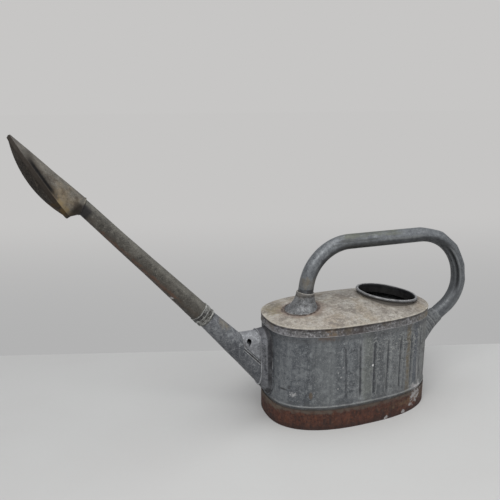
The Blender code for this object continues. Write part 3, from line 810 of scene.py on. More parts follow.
def pipe_radius(distance):
    """Radius of the pipe: level in the bell, then slimmer towards the rose."""
    end_radius = PIPE_END_DIAMETER / 2
    bell_end = PIPE_START + PIPE_BELL
    share = max(0.0, (distance - bell_end) / (SPOUT_LENGTH + PIPE_ENTRY - bell_end))
    return end_radius + (PIPE_BELL_RADIUS - end_radius) * (1.0 - share) ** PIPE_TAPER


def spout_ring(radius, distance, count, lump=0.0, scale=60.0):
    """A circle round the spout's axis, its radius uneven by up to lump."""
    ring = []
    for angle in circle_angles(count):
        local = Vector((radius * math.cos(angle), radius * math.sin(angle), distance))
        grown = radius + lump * noise.noise(local * scale)
        local.x = grown * math.cos(angle)
        local.y = grown * math.sin(angle)
        ring.append(SPOUT @ local)
    return ring


def make_pipe(material):
    """The pipe, dented a little along its length."""
    end = SPOUT_LENGTH + PIPE_ENTRY
    rows = 60
    stations = [PIPE_START + (end - PIPE_START) * k / rows for k in range(rows + 1)]

    def rings_of(thick):
        found = []
        for distance in stations:
            ring = spout_ring(pipe_radius(distance) - thick, distance, PIPE_SIDES)
            fade = smooth_step(distance, PIPE_START, PIPE_START + 0.03)
            fade *= 1.0 - smooth_step(distance, end - 0.03, end)
            found.append([wobble(point, PIPE_DENT * fade, PIPE_WAVES) for point in ring])
        return found

    rings = rings_of(0.0) + rings_of(SHEET)[::-1]
    shell_piece("pipe", rings, material, ["spout_pipe"])


def make_joint(material):
    """The lumpy solder at the pipe's lower end, and the ridge it left on the bell."""
    high = PIPE_START - GAP
    low = high - SOLDER_LENGTH
    section = [
        (cone_radius(low) + GAP, low, 0.0),
        (cone_radius(low) + 0.0007, low - 0.0006, 0.0003),
        (cone_radius(low) + 0.0014, low + 0.0015, 0.0010),
        (PIPE_BELL_RADIUS + 0.0002, low + 0.0034, 0.0012),
        (PIPE_BELL_RADIUS + 0.0004, high - 0.0010, 0.0010),
        (PIPE_BELL_RADIUS + 0.0002, high, 0.0005),
        (cone_radius(high) + GAP, high, 0.0),
    ]
    rings = [spout_ring(radius, s, JOINT_SIDES, lump, 190.0) for radius, s, lump in section]
    shell_piece("solder_joint", rings, material, ["spout_solder_ring"])
    rows = 14
    outer = []
    inner = []
    for k in range(rows + 1):
        share = k / rows
        distance = PIPE_START + GAP + SOLDER_RUN * share
        radius = pipe_radius(distance)
        skin = 0.00025 + 0.0011 * math.sin(math.pi * share) * (1.0 - 0.6 * share)
        lump = 0.0016 * (1.0 - share)
        outer.append(spout_ring(radius + skin, distance, JOINT_SIDES, lump, 170.0))
        inner.append(spout_ring(radius - 0.0002, distance, JOINT_SIDES))
    shell_piece("solder_run", outer + inner[::-1], material)


ROSE_ALONG = Vector((math.sin(ROSE_FACE_ANGLE), 0.0, math.cos(ROSE_FACE_ANGLE)))
ROSE_IN = Vector((math.cos(ROSE_FACE_ANGLE), 0.0, -math.sin(ROSE_FACE_ANGLE)))
ROSE_CENTRE = (
    Vector((ROSE_TIP_RISE, 0.0, SPOUT_LENGTH + ROSE_TIP)) - ROSE_ALONG * (ROSE_LENGTH / 2)
)
ROSE_PLATE_SCALE = 1.0 - (ROSE_SHEET + GAP) / (ROSE_WIDTH / 2)


def rose_point(angle, scale, lift):
    along = ROSE_LENGTH / 2 * math.cos(angle) * scale
    across = ROSE_WIDTH / 2 * math.sin(angle) * (1.0 - ROSE_EGG * math.cos(angle)) * scale
    return ROSE_CENTRE + ROSE_ALONG * along + Vector((0.0, across, 0.0)) + ROSE_IN * lift


def rose_rim(inset, lift, rounding=0.0):
    """The rose's oval edge; the rounding draws its tip in, and down or, below nought, up."""
    ring = []
    for angle in circle_angles(ROSE_SIDES):
        from_tip = min(angle, 2 * math.pi - angle)
        tip = math.exp(-((from_tip / ROSE_TIP_SPREAD) ** 2)) * rounding
        scale = 1.0 - (inset + abs(tip) * 0.6) / (ROSE_WIDTH / 2)
        ring.append(rose_point(angle, scale, lift - tip))
    return ring


def rose_neck(radius):
    ring = []
    for angle in circle_angles(ROSE_SIDES):
        slant = ROSE_CUT * (1.0 - math.cos(angle)) / 2
        ring.append(Vector((radius * math.cos(angle), radius * math.sin(angle), SPOUT_LENGTH - slant)))
    return ring


def make_hood(material):
    inner_neck = pipe_radius(SPOUT_LENGTH) + GAP
    neck = rose_neck(inner_neck + ROSE_SHEET)
    rim = rose_rim(0.0, ROSE_LIP, 0.0006)
    neck_in = rose_neck(inner_neck)
    rim_in = rose_rim(ROSE_SHEET, ROSE_LIP - ROSE_SHEET / 2, 0.0006)
    rows = 24

    def between(first, second):
        found = []
        for k in range(rows + 1):
            share = k / rows
            dent = HOOD_DENT * math.sin(math.pi * share)
            found.append([wobble(a.lerp(b, share), dent, HOOD_WAVES) for a, b in zip(first, second)])
        return found

    rings = between(neck, rim)
    rings += [rose_rim(0.0, ROSE_LIP / 2), rose_rim(0.0, 0.0010, -0.0008)]
    rings.append(rose_rim(0.0004, -0.0001, -0.0016))
    rings.append(rose_rim(ROSE_SHEET, 0.0))
    rings += between(neck_in, rim_in)[::-1]
    rings = [[SPOUT @ point for point in ring] for ring in rings]
    shell_piece("hood", rings, material, ["rose_hood"], 16.0)


def dome_lift(scale):
    share = (scale / ROSE_PLATE_SCALE) ** 2
    return ROSE_SEAT - (ROSE_DOME + ROSE_SEAT) * (1.0 - share)


def make_rose_face(material):
    rows = 22
    scales = [ROSE_PLATE_SCALE * (1.0 - k / rows) for k in range(rows)]
    angles = circle_angles(ROSE_SIDES)
    outer = [[rose_point(a, s, dome_lift(s)) for a in angles] for s in scales]
    inner = [[rose_point(a, s, dome_lift(s) + ROSE_SHEET) for a in angles] for s in scales]
    rings = [[SPOUT @ point for point in ring] for ring in inner[::-1] + outer]
    mesh = mesh_of("rose_face", *capped_stack(rings))
    face = new_object("rose_face", mesh, material, ["rose_plate"])
    cut_away(face, rose_plugs())


def rose_plugs():
    points = []
    faces = []
    sides = 14
    reach = 2 * ROSE_HOLE_RADIUS + 2 * ROSE_SHEET
    ring_total = int((ROSE_LENGTH / 2 - ROSE_HOLE_PITCH / 2) / ROSE_HOLE_PITCH)
    places = [(0.0, 0.0)]
    for ring in range(1, ring_total + 1):
        scale = ring * ROSE_HOLE_PITCH / (ROSE_LENGTH / 2)
        around = math.pi * (ROSE_LENGTH + ROSE_WIDTH) / 2 * scale
        count = 2 * max(1, round(around / ROSE_HOLE_SPACING / 2))
        places += [(2 * math.pi * k / count, scale) for k in range(count)]
    for angle, scale in places:
        centre = rose_point(angle, scale, dome_lift(scale))
        start = len(points)
        for lift in (-reach, reach):
            for turn in circle_angles(sides):
                point = centre + ROSE_IN * lift + ROSE_ALONG * ROSE_HOLE_RADIUS * math.cos(turn)
                point.y += ROSE_HOLE_RADIUS * math.sin(turn)
                points.append(SPOUT @ point)
        faces += band_faces(start, start + sides, sides)
        faces.append(tuple(range(start + sides - 1, start - 1, -1)))
        faces.append(tuple(range(start + sides, start + 2 * sides)))
    return points, faces


SOCKET_X = NOSE_X + SOCKET_SETBACK


def heading_vector(heading):
    return Vector((math.sin(heading), 0.0, math.cos(heading)))


def side_vector(heading):
    return Vector((math.cos(heading), 0.0, -math.sin(heading)))


def handle_entry():
    return Vector((SOCKET_X + SOCKET_SHIFT, 0.0, plate_height(SOCKET_X, 0.0) + SOCKET_HEIGHT))


def bend(path, radius, angle, name):
    place, heading, _ = path[-1]
    steps = max(2, round(abs(angle) / math.radians(2.5)))
    middle = place + side_vector(heading) * radius
    for k in range(1, steps + 1):
        turned_to = heading + angle * k / steps
        path.append((middle - side_vector(turned_to) * radius, turned_to, (name, k / steps)))


def forward(path, length, name):
    place, heading, _ = path[-1]
    steps = max(1, round(length / 0.008))
    for k in range(1, steps + 1):
        step = heading_vector(heading) * length * k / steps
        path.append((place + step, heading, (name, k / steps)))


def handle_path():
    """Centre line of the tube, each station with its stretch and share of it."""
    bar_height = BODY_HEIGHT + HANDLE_RISE
    start = handle_entry()
    rise = FRONT_BEND * (1.0 - math.sin(FRONT_LEAN))
    straight = (bar_height - rise - start.z) / math.cos(FRONT_LEAN)
    path = [(start - heading_vector(FRONT_LEAN) * TUBE_SEAT, FRONT_LEAN, ("front", 0.0))]
    forward(path, TUBE_SEAT + straight, "front")
    bend(path, FRONT_BEND, math.pi / 2 - FRONT_LEAN, "front_bend")
    forward(path, REAR_X + REAR_REACH - REAR_BEND - path[-1][0].x, "bar")
    bend(path, REAR_BEND, math.pi / 2, "rear_bend")
    bend(path, LOWER_BEND, math.pi / 2 - LOWER_SLOPE, "lower_bend")
    return path


def lower_run(path):
    """Start, heading and length of the tube's last straight, down to the rear wall."""
    place, heading, _ = path[-1]
    return place, heading, (place.x - REAR_X - GAP) / -math.sin(heading)


# Shares of the rear bend at which its flats meet
KINKS = (0.0, 0.30, 0.56, 0.82, 1.0)


def tube_relief(angle, stretch, share):
    """The bent tube's flats outside the rear bend and the crease pinched inside it."""
    relief = 0.0
    outward = max(0.0, -math.cos(angle)) ** 2
    if stretch == "rear_bend":
        for low, high in zip(KINKS, KINKS[1:]):
            if low <= share <= high:
                middle = math.sin(math.pi * (share - low) / (high - low))
                relief -= TUBE_FLAT * outward * middle
    return relief - TUBE_PINCH * tube_groove(angle, stretch, share)


# Where round the tube its pinched crease and the ridge beside it run, and how wide, in degrees; the
# ridge is a painted highlight only
GROOVE_LINE = (-46.0, 12.0)
RIDGE_HIGHLIGHT_LINE = (-72.0, 9.0)


def tube_groove(angle, stretch, share, line=GROOVE_LINE[0], width=GROOVE_LINE[1]):
    """How deep in the pinched crease a place on the tube lies, from 0 to 1."""
    run = {"rear_bend": share, "lower_bend": 1.0 + share}.get(stretch, -1.0)
    depth = smooth_step(run, 0.30, 0.62) * (1.0 - smooth_step(run, 0.95, 1.80))
    away = (angle - math.radians(line) + math.pi) % (2 * math.pi) - math.pi
    return depth * math.exp(-((away / math.radians(width)) ** 2))


def make_handle(material):
    path = handle_path()
    place, heading, length = lower_run(path)
    forward(path, length - REAR_SOCKET_LENGTH + TUBE_SEAT, "rear")
    angles = circle_angles(TUBE_SIDES)

    def rings_of(radius):
        found = []
        for place, heading, (stretch, share) in path:
            ring = []
            for angle in angles:
                grown = radius + tube_relief(angle, stretch, share)
                point = place + side_vector(heading) * grown * math.cos(angle)
                point.y += grown * math.sin(angle)
                ring.append(point)
            found.append(ring)
        return found

    outer = rings_of(TUBE_DIAMETER / 2)
    inner = rings_of(TUBE_DIAMETER / 2 - TUBE_WALL)
    handle = shell_piece("handle", outer + inner[::-1], material, ["handle_tube"])
    stations = [where for place, heading, where in path]
    stations += stations[::-1]
    places = [(angle, *where) for where in stations for angle in angles]
    set_mark(handle, "inner", [math.cos(place[0]) for place in places])
    # The groove mark carries painted shade
    set_mark(handle, "groove", [tube_groove(*place) for place in places])
    # The ridge mark carries a painted highlight
    set_mark(handle, "ridge", [tube_groove(*place, *RIDGE_HIGHLIGHT_LINE) for place in places])


def trumpet(base_ring, lip_ring, axis, neck, rows=22):
    """Rings from a wide base to a lip: each line leaves the lip along the axis, then flares."""
    rings = []
    count = len(base_ring)
    for k in range(rows + 1):
        share = k / rows
        ring = []
        for index, (base, lip) in enumerate(zip(base_ring, lip_ring)):
            turned = math.cos(2 * math.pi * index / count)
            bent = lip.lerp(base, 0.10) - axis * neck * (1.0 - 0.55 * max(0.0, turned))
            ring.append(base.lerp(bent, share).lerp(bent.lerp(lip, share), share))
        rings.append(ring)
    return rings


def make_socket(name, node, material, base_at, lip_place, heading, neck, puckers, lip):
    """A socket beaten to a flare, its lip rolled and its neck a little puckered."""
    bore = TUBE_DIAMETER / 2 + GAP
    axis = heading_vector(heading)
    angles = circle_angles(SOCKET_SIDES)

    def lip_ring(radius):
        ring = []
        for angle in angles:
            point = lip_place + side_vector(heading) * radius * math.cos(angle)
            point.y += radius * math.sin(angle)
            ring.append(point)
        return ring

    outer = trumpet([base_at(a, 0.0) for a in angles], lip_ring(bore + lip), axis, neck)
    inner = trumpet([base_at(a, SHEET) for a in angles], lip_ring(bore), axis, neck)
    shaped = []
    for index, ring in enumerate(outer):
        share = index / (len(outer) - 1)
        strength = puckers * math.sin(math.pi * smooth_step(share, 0.25, 1.0))
        middle = sum(ring, Vector()) / SOCKET_SIDES
        pushed = []
        for angle, point in zip(angles, ring):
            fold = math.sin(angle * 11.0 + 2.0 * noise.noise(point * 40.0))
            away = (point - middle).normalized()
            pushed.append(point + away * strength * (fold - 1.0) / 2)
        shaped.append(pushed)
    bead = lip_ring(bore + lip * 0.75)
    bead = [point + axis * 0.0006 for point in bead]
    inner_bead = [point + axis * 0.0006 for point in lip_ring(bore + 0.0003)]
    rings = shaped + [bead, inner_bead] + inner[::-1]
    piece = shell_piece(name, rings, material, [node])
    lip_rings = (len(shaped), len(shaped) + 1)
    set_mark(piece, "lip", [float(k in lip_rings) for k in range(len(rings)) for _ in angles])


def front_base(angle, shrink):
    """The flare's foot, beaten a little narrower along the can than across it."""
    radius = SOCKET_BASE_RADIUS - shrink
    x = SOCKET_X + SOCKET_NARROWING * radius * math.cos(angle)
    y = radius * math.sin(angle)
    return Vector((x, y, plate_height(x, y) + GAP))


def rear_base(angle, shrink):
    place, heading, length = lower_run(handle_path())
    hit = place + heading_vector(heading) * length
    y = (REAR_BASE_WIDTH - shrink) * math.sin(angle)
    z = hit.z - (REAR_BASE_HEIGHT - shrink) * math.cos(angle)
    return Vector((wall_reach(y, z), y, z))


def make_sockets(front_material, rear_material):
    make_socket(
        "front_flare", "front_socket", front_material,
        front_base, handle_entry(), FRONT_LEAN, SOCKET_NECK, 0.0007, SOCKET_LIP,
    )
    place, heading, length = lower_run(handle_path())
    direction = heading_vector(heading)
    lip_place = place + direction * (length - REAR_SOCKET_LENGTH)
    make_socket(
        "rear_flare", "rear_socket", rear_material,
        rear_base, lip_place, heading + math.pi, REAR_SOCKET_NECK, 0.0004, SHEET,
    )


def seam(name, line, radius, lump, material, closed=False):
    """A bead of solder along a line of points, thick and thin by turns."""
    sides = 10
    rings = []
    total = len(line)
    for index, point in enumerate(line):
        before = line[index - 1] if closed or index > 0 else point
        after = line[(index + 1) % total] if closed or index < total - 1 else point
        along = (after - before).normalized()
        side = along.cross(Vector((0.0, 0.0, 1.0)))
        if side.length < 0.1:
            side = along.cross(Vector((1.0, 0.0, 0.0)))
        side.normalize()
        up = side.cross(along)
        thick = radius * (1.0 + lump * noise.noise(point * 230.0))
        if not closed:
            thick *= 0.35 + 0.65 * math.sin(math.pi * (index + 0.5) / total) ** 0.4
        rings.append([
            point + side * thick * math.cos(a) + up * thick * math.sin(a)
            for a in circle_angles(sides)
        ])
    geometry = closed_shell(rings) if closed else capped_stack(rings)
    new_object(name, mesh_of(name, *geometry), material)


def beside_brace(point, side, drop):
    """A place on the cone a way down from the brace's foot, on the side given."""
    run = point - SPOUT_ROOT
    distance = run.dot(SPOUT_AXIS)
    radial = run - SPOUT_AXIS * distance
    angle = math.atan2(radial.dot(SPOUT_UP), side * abs(radial.y))
    lower = angle - side * drop / cone_radius(distance)
    return cone_point(lower, distance, 0.0003)


# Distance from the pipe's start and thickness of each ridge of solder at the joint
JOINT_RIDGES = ((-0.0042, 0.0009), (0.0045, 0.0010), (0.0125, 0.0009))


def closed_beads():
    """Each closed bead's name, line, thickness, unevenness, finish and slot."""
    made = []
    for number, (run, thick) in enumerate(JOINT_RIDGES):
        line = spout_ring(PIPE_BELL_RADIUS + 0.0006, PIPE_START + run, JOINT_SIDES, 0.0009, 120.0)
        line = [point + SPOUT_AXIS * 0.0016 * noise.noise(point * 90.0) for point in line]
        made.append((f"joint_ridge_{number + 1}", line, thick, 0.9, "joint_ridge", "solder"))
    line = [front_base(angle, -0.0002) for angle in circle_angles(160)]
    made.append(("front_socket_seam", line, 0.0007, 0.7, "front_seam", "front_socket_zinc"))
    line = [rear_base(angle, -0.0002) for angle in circle_angles(120)]
    made.append(("rear_socket_seam", line, 0.0008, 0.7, "rear_seam", "rear_socket_zinc"))
    line = root_ring(at_root_front, GAP + ROOT_SHEET, SADDLE_TOP)
    made.append(("root_edge", line, 0.0011, 0.5, "root_edge", "root_zinc"))
    line = root_ring(at_wall, GAP + ROOT_SHEET + 0.0004, SADDLE_TOP + ROOT_FLARE)
    made.append(("root_seam", line, 0.0011, 0.8, "root_seam", "root_zinc"))
    line = [SPOUT @ point for point in rose_neck(pipe_radius(SPOUT_LENGTH) + GAP + 0.0006)]
    made.append(("rose_seam", line, 0.0010, 0.8, "rose_seam", "rose_zinc"))
    return made


def make_seams(materials):
    """The beads of solder: over the brace, down both its sides, and round the joints."""
    near = []
    for row in range(1, SADDLE_ROWS):
        x = saddle_x(row)
        half = saddle_half_width(x)
        near.append(Vector((x, -half, cone_top(x, half) + 0.0003)))
    across = []
    for k in range(1, 12):
        y = -saddle_half_width(SADDLE_FRONT) * (1.0 - k / 6)
        across.append(Vector((SADDLE_FRONT + 0.0004, y, cone_top(SADDLE_FRONT, y) + 0.0003)))
    far = [Vector((point.x, -point.y, point.z)) for point in near[::-1]]
    seam("saddle_seam", near + across + far, 0.0011, 0.8, materials["saddle_seam"])
    for name, side in (("near", -1.0), ("far", 1.0)):
        line = [beside_brace(point, side, 0.0036) for point in near]
        seam(name + "_solder_line", line, 0.0008, 0.9, materials["saddle_seam"])
        line = [beside_brace(point, side, 0.0019) for point in near]
        seam(name + "_dark_line", line, 0.0006, 0.6, materials["dark_line"])
    for name, line, thick, lump, finish, slot_name in closed_beads():
        seam(name, line, thick, lump, materials[finish], True)


def screen(red, green, blue, gain=1.0):
    """A colour given by its screen values from 0 to 255, and made brighter by the gain."""
    linear = []
    for value in (red / 255, green / 255, blue / 255):
        value = value / 12.92 if value <= 0.04045 else ((value + 0.055) / 1.055) ** 2.4
        linear.append(min(1.0, value * gain))
    return (*linear, 1.0)


class Surface:
    """A material built up in layers of colour, roughness and relief."""

    def __init__(self, name, colour, metallic=0.15):
        self.material = bpy.data.materials.new(name)
        self.material.use_nodes = True
        self.tree = self.material.node_tree
        self.shader = self.tree.nodes["Principled BSDF"]
        self.shader.inputs["Metallic"].default_value = metallic
        self.place = self.tree.nodes.new("ShaderNodeTexCoord").outputs["Object"]
        parts = self.tree.nodes.new("ShaderNodeSeparateXYZ")
        self.tree.links.new(self.place, parts.inputs[0])
        self.x = self.sum(parts.outputs["X"], -CAN_X)
        self.y = parts.outputs["Y"]
        self.z = parts.outputs["Z"]
        self.colour = screen(*colour)
        self.relief = None

    def wire(self, value, socket):
        """Sets an input, or links it where the value is another node's output."""
        if isinstance(value, bpy.types.NodeSocket):
            self.tree.links.new(value, socket)
        else:
            socket.default_value = value

    def maths(self, operation, first, second=0.0):
        made = self.tree.nodes.new("ShaderNodeMath")
        made.operation = operation
        self.wire(first, made.inputs[0])
        self.wire(second, made.inputs[1])
        return made.outputs[0]

    def sum(self, first, second):
        return self.maths("ADD", first, second)

    def times(self, first, *others):
        for other in others:
            first = self.maths("MULTIPLY", first, other)
        return first

    def vectors(self, operation, first, second, output="Vector"):
        made = self.tree.nodes.new("ShaderNodeVectorMath")
        made.operation = operation
        self.wire(first, made.inputs[0])
        self.wire(second, made.inputs[1])
        return made.outputs[output]

    def noise(self, scale, detail=3.0, stretch=(1.0, 1.0, 1.0), shift=0.0):
        stretched = self.vectors("MULTIPLY", self.place, stretch)
        moved = self.vectors("ADD", stretched, (shift, shift * 0.7, -shift))
        texture = self.tree.nodes.new("ShaderNodeTexNoise")
        self.wire(moved, texture.inputs["Vector"])
        texture.inputs["Scale"].default_value = scale
        texture.inputs["Detail"].default_value = detail
        texture.inputs["Roughness"].default_value = 0.62
        return texture.outputs["Fac"]

    def span(self, value, low, high, to_low=0.0, to_high=1.0):
        made = self.tree.nodes.new("ShaderNodeMapRange")
        made.interpolation_type = "SMOOTHSTEP"
        for socket, number in zip(made.inputs, (value, low, high, to_low, to_high)):
            self.wire(number, socket)
        return made.outputs[0]

    def fall(self, value, low, high):
        """1 up to the low value, 0 past the high one."""
        return self.span(value, low, high, 1.0, 0.0)

    def between(self, value, low, high, soft):
        rise = self.span(value, low - soft, low + soft)
        return self.times(rise, self.fall(value, high - soft, high + soft))

    def near(self):
        """1 on the side with the vent, 0 on the other side."""
        return self.fall(self.y, -0.010, 0.010)

    def along(self, direction, origin=(0.0, 0.0, 0.0)):
        """Length from an origin along a direction, both in the can's own frame."""
        away = self.vectors("SUBTRACT", self.place, tuple(TO_ROW @ Vector(origin)))
        return self.vectors("DOT_PRODUCT", away, tuple(direction), "Value")

    def spot(self, centre, reach, soft=0.6):
        """A mask that is 1 near a place of the can and 0 beyond its reach on each axis."""
        away = self.vectors("SUBTRACT", self.place, tuple(TO_ROW @ Vector(centre)))
        scaled = self.vectors("MULTIPLY", away, tuple(1 / r for r in reach))
        length = self.vectors("LENGTH", scaled, (0.0, 0.0, 0.0), "Value")
        return self.fall(length, 1.0 - soft, 1.0)

    def round_axis(self, origin, axis):
        """Distance from an axis through an origin."""
        away = self.vectors("SUBTRACT", self.place, tuple(TO_ROW @ Vector(origin)))
        across = self.vectors("CROSS_PRODUCT", away, tuple(axis))
        return self.vectors("LENGTH", across, (0.0, 0.0, 0.0), "Value")

    def mark(self, name):
        """A value that the mesh carries at each of its points."""
        made = self.tree.nodes.new("ShaderNodeAttribute")
        made.attribute_name = name
        return made.outputs["Fac"]

    def ragged(self, mask, scale=90.0, amount=1.6):
        """The mask with an uneven edge, and with holes in it."""
        rough = self.times(self.sum(self.noise(scale, 5.0), -0.5), amount * 1.9)
        broken = self.span(self.sum(self.times(mask, 0.75), rough), 0.25, 0.95)
        return self.times(broken, self.span(mask, 0.0, 0.25))

    def wear(self, mask, colour, strength=1.0, scale=90.0, amount=1.6):
        """Lays a colour that is worn at the mask's edge, and through in places."""
        self.lay(self.ragged(mask, scale, amount), colour, strength)

    def lay(self, mask, colour, strength=1.0):
        """Lays a colour, given by its screen values, where the mask is 1."""
        if strength != 1.0:
            mask = self.times(mask, strength)
        made = self.tree.nodes.new("ShaderNodeMix")
        made.data_type = "RGBA"
        sockets = {socket.identifier: socket for socket in made.inputs}
        self.wire(mask, sockets["Factor_Float"])
        self.wire(self.colour, sockets["A_Color"])
        self.wire(screen(*colour), sockets["B_Color"])
        self.colour = next(s for s in made.outputs if s.identifier == "Result_Color")

    def bump(self, height, depth, strength=0.5):
        made = self.tree.nodes.new("ShaderNodeBump")
        made.inputs["Distance"].default_value = depth
        made.inputs["Strength"].default_value = strength
        self.wire(height, made.inputs["Height"])
        if self.relief is not None:
            self.tree.links.new(self.relief, made.inputs["Normal"])
        self.relief = made.outputs["Normal"]

    def finish(self, rough_low=0.45, rough_high=0.75, gloss=0.5):
        grain = self.span(self.noise(120.0), 0.35, 0.65, rough_low, rough_high)
        self.wire(grain, self.shader.inputs["Roughness"])
        self.shader.inputs["Specular IOR Level"].default_value = gloss
        self.wire(self.colour, self.shader.inputs["Base Color"])
        if self.relief is not None:
            self.tree.links.new(self.relief, self.shader.inputs["Normal"])
        return self.material


def zinc(name, middle, dark, light, upright=False, seed=0.0, metallic=0.15):
    """Weathered zinc: broad clouds, mottling, upright runs, pale bloom and dark pores."""
    paint = Surface(name, middle, metallic)
    paint.lay(paint.span(paint.noise(15.0, 5.0, shift=seed), 0.47, 0.66), dark, 0.7)
    paint.lay(paint.span(paint.noise(27.0, 5.0, shift=seed + 4.0), 0.50, 0.70), light, 0.6)
    if upright:
        broad = paint.noise(26.0, 3.0, (1.0, 1.0, 0.14), seed + 51.0)
        paint.lay(paint.span(broad, 0.50, 0.66), dark, 0.55)
        paint.lay(paint.fall(broad, 0.34, 0.47), light, 0.40)
        runs = paint.noise(60.0, 4.0, (1.0, 1.0, 0.09), seed + 9.0)
        paint.lay(paint.span(runs, 0.50, 0.66), light, 0.65)
        runs = paint.noise(85.0, 4.0, (1.0, 1.0, 0.07), seed + 15.0)
        paint.lay(paint.span(runs, 0.50, 0.68), dark, 0.8)
    mottle = paint.noise(140.0, 3.0, shift=seed + 12.0)
    paint.lay(paint.span(mottle, 0.52, 0.68), light, 0.75)
    paint.lay(paint.fall(mottle, 0.32, 0.47), dark, 0.75)
    salt = paint.noise(560.0, 1.0, shift=seed + 22.0)
    paint.lay(paint.span(salt, 0.64, 0.72), (*light, 1.5), 0.75)
    fine = paint.noise(430.0, 2.0, shift=seed + 2.0)
    paint.lay(paint.span(fine, 0.55, 0.72), light, 0.75)
    paint.lay(paint.span(paint.noise(330.0, 2.0, shift=seed + 6.0), 0.56, 0.72), dark, 0.75)
    paint.bump(fine, 0.0004, 0.35)
    paint.bump(mottle, 0.0008, 0.25)
    return paint


# Colours that more than one piece has
WHITE = (178, 177, 176)
CHALK = (160, 158, 157)
# Dark grey of painted shade, in corners and under edges
PAINTED_SHADE = (44, 43, 44)
OCHRE = (116, 102, 78)
BROWN = (86, 66, 52)


def paint_wall():
    paint = zinc("wall_zinc", (90, 93, 96), (53, 56, 61), (130, 133, 134), True)
    near = paint.near()
    # Broad tones from the nose to the rear
    right = paint.span(paint.x, -0.060, 0.060)
    paint.lay(paint.times(right, near), (112, 113, 112), 0.35)
    tint = paint.times(paint.between(paint.x, -0.016, 0.006, 0.006), near)
    paint.wear(tint, (124, 127, 118), 0.35, 60.0, 1.0)
    patches = paint.span(paint.noise(9.0, 4.0, (1.0, 1.0, 0.35), 30.0), 0.56, 0.68)
    paint.lay(paint.times(patches, paint.span(paint.y, -0.02, 0.03)), OCHRE, 0.4)
    # Ochre and sparkling dark stripes between the last creases
    stripe = paint.times(paint.between(paint.x, 0.0745, 0.0865, 0.003), near)
    paint.wear(stripe, (104, 93, 72), 0.75, 120.0, 1.1)
    strip = paint.times(paint.between(paint.x, 0.0925, 0.1035, 0.003), near)
    paint.lay(strip, (64, 69, 78), 0.6)
    sparks = paint.span(paint.noise(520.0, 2.0, shift=3.0), 0.60, 0.68)
    paint.lay(paint.times(strip, sparks), WHITE, 0.8)
    paint.lay(paint.times(paint.span(paint.x, 0.112, 0.122), near), (112, 113, 112), 0.2)
    shaded = paint.times(paint.fall(paint.x, -0.150, -0.070), near)
    paint.lay(shaded, (72, 76, 82), 0.3)
    edge = paint.times(paint.span(paint.x, 0.100, 0.140), near)
    paint.lay(edge, (72, 71, 66), 0.45)
    middle = paint.times(paint.between(paint.x, -0.100, -0.060, 0.020), near)
    paint.lay(middle, (118, 121, 121), 0.40)
    # Creases: a painted highlight on their flanks, a dark line in each, grit and pits between
    crease = paint.mark("crease")
    lit_flank = paint.times(paint.span(crease, 0.004, 0.05), paint.fall(crease, 0.08, 0.25))
    clear = paint.span(paint.x, -0.060, 0.010, 0.12, 1.0)
    paint.lay(paint.times(paint.ragged(lit_flank, 120.0, 1.0), clear), (134, 136, 135), 0.6)
    high = paint.span(paint.z, 0.05, 0.15, 0.3, 1.0)
    grit = paint.times(near, paint.span(paint.x, -0.050, 0.040), high)
    flecks = paint.span(paint.noise(300.0, 3.0, shift=61.0), 0.56, 0.66)
    paint.lay(paint.times(grit, flecks), (158, 159, 155), 0.8)
    pits = paint.span(paint.noise(240.0, 3.0, shift=67.0), 0.57, 0.67)
    paint.lay(paint.times(grit, pits), (48, 49, 50), 0.85)
    paint.wear(paint.span(crease, 0.10, 0.80), (46, 48, 52), 0.85, 90.0, 0.6)
    # Painted shade under the skirt, a brown stain there, then round the bead
    # Painted shade: a dark band right under the skirt's edge
    paint.lay(paint.between(paint.z, 0.1560, 0.1650, 0.004), (66, 66, 68), 0.45)
    under_skirt = paint.times(paint.spot((-0.075, -0.083, 0.166), (0.030, 0.02, 0.012)), near)
    paint.wear(under_skirt, BROWN, 0.6)
    low = paint.fall(paint.z, 0.042, 0.058)
    paint.wear(low, (78, 79, 80), 0.5, 70.0)
    bead = paint.between(paint.z, 0.0412, 0.0436, 0.0008)
    paint.wear(bead, (130, 131, 129), 0.55, 110.0, 1.0)
    # Darker band under the bead: dirt, and painted shade of the gap between bead and band
    under_bead = paint.fall(paint.z, 0.0380, 0.0400)
    paint.wear(under_bead, (80, 74, 68), 0.7, 90.0, 0.6)
    # Chalk at the near right, with its drips
    chalk = paint.spot((0.106, -0.076, 0.036), (0.026, 0.020, 0.022))
    paint.wear(chalk, CHALK, 0.85, 130.0, 2.2)
    runs = paint.noise(160.0, 3.0, (1.0, 1.0, 0.05), 44.0)
    drips = paint.spot((0.112, -0.072, 0.070), (0.020, 0.020, 0.050))
    paint.lay(paint.times(drips, paint.span(runs, 0.5, 0.62)), CHALK, 0.6)
    # Single splashes, specks and scratches, and the painted shade of a small dent
    splash = paint.spot((-0.1299, -0.0603, 0.0621), (0.010, 0.010, 0.009), 1.0)
    paint.wear(splash, WHITE, 0.8, 330.0, 2.2)
    for centre in (
        (-0.0511, -0.0873, 0.1102), (-0.0594, -0.0866, 0.1019), (-0.0545, -0.0872, 0.0928),
        (-0.0595, -0.0873, 0.0731),
    ):
        paint.lay(paint.spot(centre, (0.0017, 0.004, 0.0017)), WHITE, 0.75)
    paint.lay(paint.spot((0.0053, -0.088, 0.1058), (0.0028, 0.004, 0.0028), 0.5), (228, 228, 226))
    paint.lay(paint.spot((-0.1041, -0.0759, 0.0631), (0.004, 0.006, 0.009)), (92, 76, 58), 0.7)
    # Painted shade: the dark arc of a small dent
    paint.lay(paint.spot((-0.1415, -0.0460, 0.0690), (0.008, 0.010, 0.0026)), PAINTED_SHADE, 0.8)
    paint.lay(paint.spot((-0.1350, -0.0550, 0.0750), (0.003, 0.006, 0.005)), PAINTED_SHADE, 0.6)
    # Painted shade on the wall beside the spout's root, in the corner it makes
    paint.wear(paint.fall(paint.x, -0.1535, -0.1480), (50, 52, 56), 0.7, 60.0, 0.8)
    return paint.finish()


